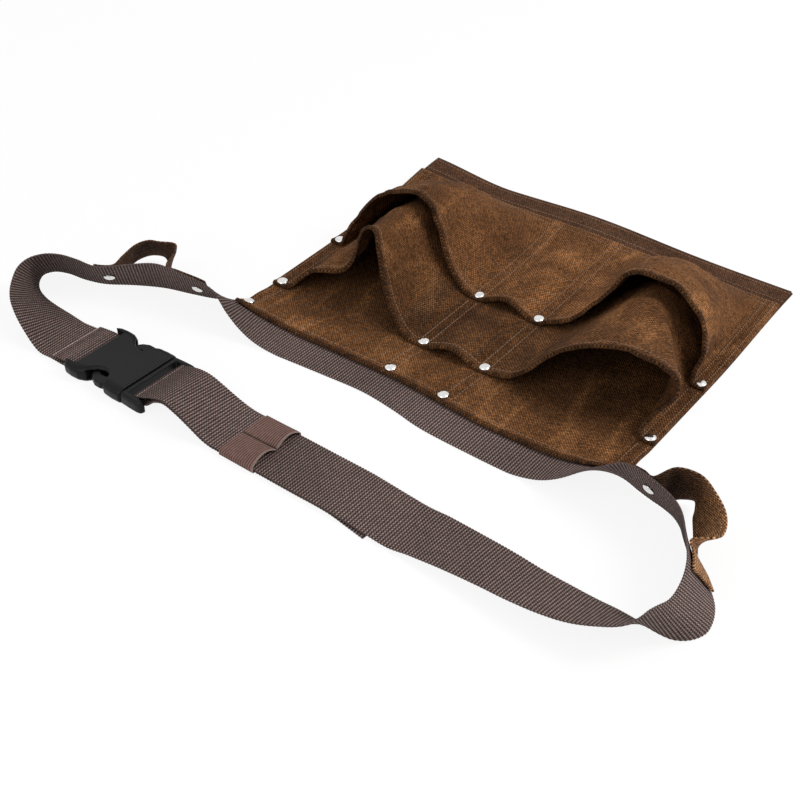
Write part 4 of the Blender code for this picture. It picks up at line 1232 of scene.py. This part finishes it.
def scatter_tree(name, shape, material):
    """A node tree that sets `shape` on each point, turned by its `way` and `up`."""
    geometry = ("Geometry", "NodeSocketGeometry")
    tree, given, out = new_group(name, "GeometryNodeTree",
                                 [(*geometry, None), ("Size", "NodeSocketFloat", 1.0)],
                                 [geometry])
    spots = add_node(tree, "GeometryNodeMeshToPoints", {"Mesh": given.outputs["Geometry"]})
    source = add_node(tree, "GeometryNodeObjectInfo", {"Object": shape})
    upright = add_node(tree, "FunctionNodeAlignRotationToVector",
                       {"Vector": vector_attribute(tree, "up")}, axis="Z")
    turned = add_node(tree, "FunctionNodeAlignRotationToVector",
                      {"Rotation": upright.outputs["Rotation"],
                       "Vector": vector_attribute(tree, "way")}, axis="X", pivot_axis="Z")
    placed = add_node(tree, "GeometryNodeInstanceOnPoints",
                      {"Points": spots.outputs["Points"],
                       "Instance": source.outputs["Geometry"],
                       "Rotation": turned.outputs["Rotation"],
                       "Scale": given.outputs["Size"]})
    real = add_node(tree, "GeometryNodeRealizeInstances",
                    {"Geometry": placed.outputs["Instances"]})
    finish = add_node(tree, "GeometryNodeSetMaterial",
                      {"Geometry": real.outputs["Geometry"], "Material": material})
    tree.links.new(finish.outputs["Geometry"], out.inputs["Geometry"])
    return tree


def evaluated_mesh(thing):
    graph = bpy.context.evaluated_depsgraph_get()
    return bpy.data.meshes.new_from_object(thing.evaluated_get(graph))


def scattered(name, places, ups, ways, shape, material, size=1.0):
    """One mesh with `shape` at every place, given in millimetres."""
    mesh = bpy.data.meshes.new(name + "_places")
    mesh.from_pydata([tuple(p * MM) for p in places], [], [])
    for label, values in (("up", ups), ("way", ways)):
        attribute = mesh.attributes.new(label, "FLOAT_VECTOR", "POINT")
        attribute.data.foreach_set("vector", np.asarray(values, np.float32).ravel())
    holder = linked(name + "_places", mesh)
    modifier = holder.modifiers.new("scatter", "NODES")
    modifier.node_group = tree = scatter_tree(name, shape, material)
    sockets = {socket.name: socket.identifier for socket in tree.interface.items_tree}
    modifier[sockets["Size"]] = size
    result = evaluated_mesh(holder)
    result.name = name
    result.shade_smooth()
    bpy.data.objects.remove(holder)
    print(name, len(places), "places,", len(result.polygons), "faces")
    return linked(name, result)


DOME_PROFILE = ((0, 0.0), (4.3, 0.02), (4.74, 0.35), (4.6, 0.75), (3.9, 1.35), (2.8, 1.9),
                (1.4, 2.2), (0, 2.3))
dome = revolved("dome", DOME_PROFILE, 28, NICKEL)
cap_places = np.array([foot + normal * (stack + GAP) for _, foot, normal, stack in SITES])
cap_normals = np.array([normal for _, _, normal, _ in SITES])
caps = scattered("rivet_domes", cap_places, cap_normals,
                 np.cross(cap_normals, [0.3, 1.0, 0.2]), dome, NICKEL)
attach(caps, "belt")
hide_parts(*[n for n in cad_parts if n.startswith("rivet_cap_")])

# %% [markdown]
# ## Stitching
# The canvas is sewn with thick light-brown thread and the strap's folded end with a
# darker one. A pair of seams runs down each pocket divider and each side, one seam
# follows each hem, and two close the pocket bottoms. A stitch is a short rounded pad
# of thread that sinks at both ends.

# %% Stitches
STITCH_PITCH, STITCH_LIFT, HEM_STITCH = 3.3, 0.16, 7.5
SEAM_X = (-177.0, -168.5, -33.0, -25.0, 25.0, 33.0, 168.5, 177.0)
SEWN_END_X = (-244.6, -242.4, -240.2, -238.0, -235.8, -233.6)
PAD_PROFILE = ((0, -1.4), (0.28, -1.0), (0.38, -0.4), (0.38, 0.4), (0.28, 1.0), (0, 1.4))


def on_surface(grid, top, i, j):
    """Outer surface of a panel at fractional places of its grid, with its normal."""
    normals = grid_normals(grid)
    i, j = np.clip(i, 0, grid.shape[0] - 1.001), np.clip(j, 0, grid.shape[1] - 1.001)
    a, b = np.floor(i).astype(int), np.floor(j).astype(int)
    s, t = (i - a)[:, None], (j - b)[:, None]
    outer, normal = (mix(mix(field[a, b], field[a + 1, b], s),
                         mix(field[a, b + 1], field[a + 1, b + 1], s), t)
                     for field in (grid + normals * top[..., None], normals))
    return outer, unit(normal)


def stitches_along(points, normals, pitch):
    """Places, ups and ways of stitches `pitch` apart along a line."""
    length = walked(points)
    spots = np.arange(pitch / 2, length[-1], pitch)
    ahead, behind = (read_off(points, length, spots + step) for step in (0.5, -0.5))
    return (read_off(points, length, spots), unit(read_off(normals, length, spots)),
            unit(ahead - behind))


def column_at(grid, x):
    """Fractional column index where a panel's last row crosses x."""
    xs = grid[:, -1, 0]
    crossing = np.flatnonzero(np.diff(np.sign(xs - x)))
    if len(crossing) == 0:
        crossing = np.arange(len(xs))
    k = min(crossing[np.argmin(np.abs(xs[crossing] - x))], len(xs) - 2)
    return k + float(np.clip((x - xs[k]) / (xs[k + 1] - xs[k] + 1e-9), 0.0, 1.0))


def row_at(grid, distance):
    """For every column, the row that lies `distance` below the hem, or above the seam."""
    rows = np.arange(grid.shape[1])
    return [np.interp(distance if distance > 0 else gone[-1] + distance, gone, rows)
            for gone in walked(grid, 1)]


def panel_line(grid, top, i, j):
    """A line of stitches over places of a grid; i or j may be the same for all of them."""
    i, j = np.broadcast_arrays(np.asarray(i, float), np.asarray(j, float))
    points, normals = on_surface(grid, top, i, j)
    return stitches_along(points + normals * STITCH_LIFT, normals, STITCH_PITCH)


def sewn(name, lines, material, size=1.0):
    """All the stitches of some lines as one piece."""
    places, ups, ways = (np.concatenate(part) for part in zip(*lines))
    thread = scattered(name, places, ups, ways, pad, material, size)
    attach(thread, "belt")


lines = []
for grid, top, low, high in ((back_grid, back_top, 3.0, 44.0),
                             (middle_grid, middle_top, 47.0, 122.0),
                             (pouch_grid, pouch_top, 125.0, 264.0)):
    for x in SEAM_X:
        column = column_at(grid, x + drift(POCKET_BOTTOM_Y))
        y = grid[int(column), :, 1]
        lines.append(panel_line(grid, top, column, np.flatnonzero((y >= low) & (y <= high))))
    lines.append(panel_line(grid, top, np.arange(len(grid)), row_at(grid, HEM_STITCH)))
for inset in (2.0, 8.0):
    lines.append(panel_line(pouch_grid, pouch_top, np.arange(len(pouch_grid)),
                            row_at(pouch_grid, -inset)))
strip_top = np.full(strip_grid.shape[:2], CANVAS / 2)
for j in (4.0, 13.0):
    lines.append(panel_line(strip_grid, strip_top, np.arange(len(strip_grid)), j))

strap_lines = []
sewn_layer = strap_rows[:24]
for x in SEWN_END_X:
    level = np.interp(x, sewn_layer[:, 0], (sewn_layer[:, 2] + sewn_layer[:, 5]) / 2)
    line = np.array([(*front_point(x, across), level + WEBBING / 2 + 0.05)
                     for across in np.linspace(-23.0, 23.0, 40)])
    strap_lines.append(stitches_along(line, np.tile([0.0, 0.0, 1.0], (40, 1)), 3.1))

pad = revolved("pad", PAD_PROFILE, 6, THREAD)
pad.data.transform(Matrix.Rotation(math.radians(90), 4, "Y"))
sewn("canvas_stitches", lines, THREAD)
sewn("strap_stitches", strap_lines, STRAP_THREAD, 0.9)

# %% [markdown]
# ## Buckle
# The buckle is moulded plastic, and a mould leaves no sharp edge. Each part is made
# again from its solid as a fine, even skin that is then relaxed a little, which rounds
# every edge by about half a millimetre and leaves the shape as it is.

# %% Moulded buckle parts
ARM_MIDDLE_Y, ARM_MIDDLE_Z = 27.8, 5.6
ARM_ROUND_FROM_X, ARM_END_X = -148.0, -142.1


def moulded(name, node_name, body, grain, passes):
    """A rounded skin of one solid, with faces about `grain` metres wide."""
    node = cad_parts[node_name]
    mesh = node.data.copy()
    mesh.transform(node.matrix_world)
    piece = linked(name, mesh)
    skin = piece.modifiers.new("skin", "REMESH")
    skin.mode = "VOXEL"
    skin.voxel_size = grain
    relax = piece.modifiers.new("relax", "SMOOTH")
    relax.factor = 0.5
    relax.iterations = passes
    made = evaluated_mesh(piece)
    piece.modifiers.clear()
    piece.data = made
    made.materials.clear()
    made.materials.append(PLASTIC)
    made.shade_smooth()
    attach(piece, body)
    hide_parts(node_name)
    print(name, len(made.polygons), "faces")
    return piece


def blunt_arms(piece):
    """Rounds the ends of the frame's two arms into noses, inside the solid's shape."""
    origin = np.array(front_point(0.0, 0.0))
    ahead = np.array(front_point(1.0, 0.0)) - origin
    aside = np.array(front_point(0.0, 1.0)) - origin
    flat = np.empty(len(piece.data.vertices) * 3)
    piece.data.vertices.foreach_get("co", flat)
    points = flat.reshape(-1, 3) / MM
    along, across = (points[:, :2] - origin) @ ahead, (points[:, :2] - origin) @ aside
    t = np.clip((along - ARM_ROUND_FROM_X) / (ARM_END_X - ARM_ROUND_FROM_X), 0.0, 1.0)
    keep = np.sqrt(1.0 - 0.9 * t**2.4)
    middle = np.sign(across) * ARM_MIDDLE_Y
    across = middle + (across - middle) * keep
    points[:, :2] = origin + along[:, None] * ahead + across[:, None] * aside
    points[:, 2] = ARM_MIDDLE_Z + (points[:, 2] - ARM_MIDDLE_Z) * keep
    piece.data.vertices.foreach_set("co", (points * MM).ravel())
    piece.data.update()


moulded("buckle_housing", "female_housing", "belt", 0.00045, 9)
blunt_arms(moulded("buckle_frame", "male_frame", "male_half", 0.00045, 9))
for side in ("near", "far"):
    moulded(f"buckle_prong_{side}", f"prong_{side}", f"{side}_prong", 0.0004, 4)

# %% [markdown]
# ## Rivet bases
# The flat bases behind the cloth are plain discs, so their solids are shown as they
# are, with the nickel finish.

# %% Finishes on the solids
for name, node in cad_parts.items():
    if node.hide_render:
        continue
    node.data.materials.clear()
    node.data.materials.append(NICKEL)
print("shown solids:", sum(not node.hide_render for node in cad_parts.values()))

# %% [markdown]
# ## Studio
# A plain white sweep under a large soft lamp from the far right and above, a weak one
# from the near left, and an even white world. The floor only keeps the belt's soft shadow.

# %% World, floor and lamps
WHITE = (1.0, 1.0, 1.0, 1.0)
WORLD_LIGHT, FLOOR_GLOW, FLOOR_HALF = 0.62, 0.88, 30.0


def seen_directly(tree):
    """1 on rays from the camera, a mirror or glass, 0 on those that only bring light."""
    rays = tree.nodes.new("ShaderNodeLightPath").outputs
    seen = math_node(tree, "MAXIMUM", rays["Is Camera Ray"], rays["Is Glossy Ray"])
    return math_node(tree, "MAXIMUM", seen, rays["Is Transmission Ray"])


def soft_lamp(name, place, target, size, watts):
    data = bpy.data.lights.new(name, "AREA")
    data.shape = "SQUARE"
    data.size = size
    data.energy = watts
    lamp = linked(name, data)
    lamp.location = place
    aim = Vector(target) - Vector(place)
    lamp.rotation_euler = aim.to_track_quat("-Z", "Y").to_euler()


world = bpy.data.worlds.new("studio")
bpy.context.scene.world = world
world.use_nodes = True
tree = world.node_tree
background = tree.nodes["Background"]
background.inputs["Color"].default_value = WHITE
tree.links.new(math_node(tree, "MULTIPLY_ADD", seen_directly(tree), 1.0 - WORLD_LIGHT,
                         WORLD_LIGHT), background.inputs["Strength"])

paper, tree, shader = start_material("white_sweep", 1.0, 0.0)
shader.inputs["Base Color"].default_value = (0.95, 0.95, 0.95, 1.0)
glow = add_node(tree, "ShaderNodeEmission", {"Color": WHITE})
share = math_node(tree, "MULTIPLY", seen_directly(tree), FLOOR_GLOW)
surface = add_node(tree, "ShaderNodeMixShader",
                   {0: share, 1: shader.outputs[0], 2: glow.outputs[0]})
tree.links.new(surface.outputs[0], tree.nodes["Material Output"].inputs["Surface"])

floor_mesh = bpy.data.meshes.new("floor")
floor_corners = [(x * FLOOR_HALF, y * FLOOR_HALF, 0.0)
                 for x, y in ((-1, -1), (1, -1), (1, 1), (-1, 1))]
floor_mesh.from_pydata(floor_corners, [], [(0, 1, 2, 3)])
floor_mesh.materials.append(paper)
linked("floor", floor_mesh)

soft_lamp("key", (1.2, 0.7, 1.4), (0.0, 0.05, 0.0), 0.8, 23.0)
soft_lamp("fill", (-0.2, -1.5, 1.0), (0.0, -0.05, 0.0), 1.2, 8.0)
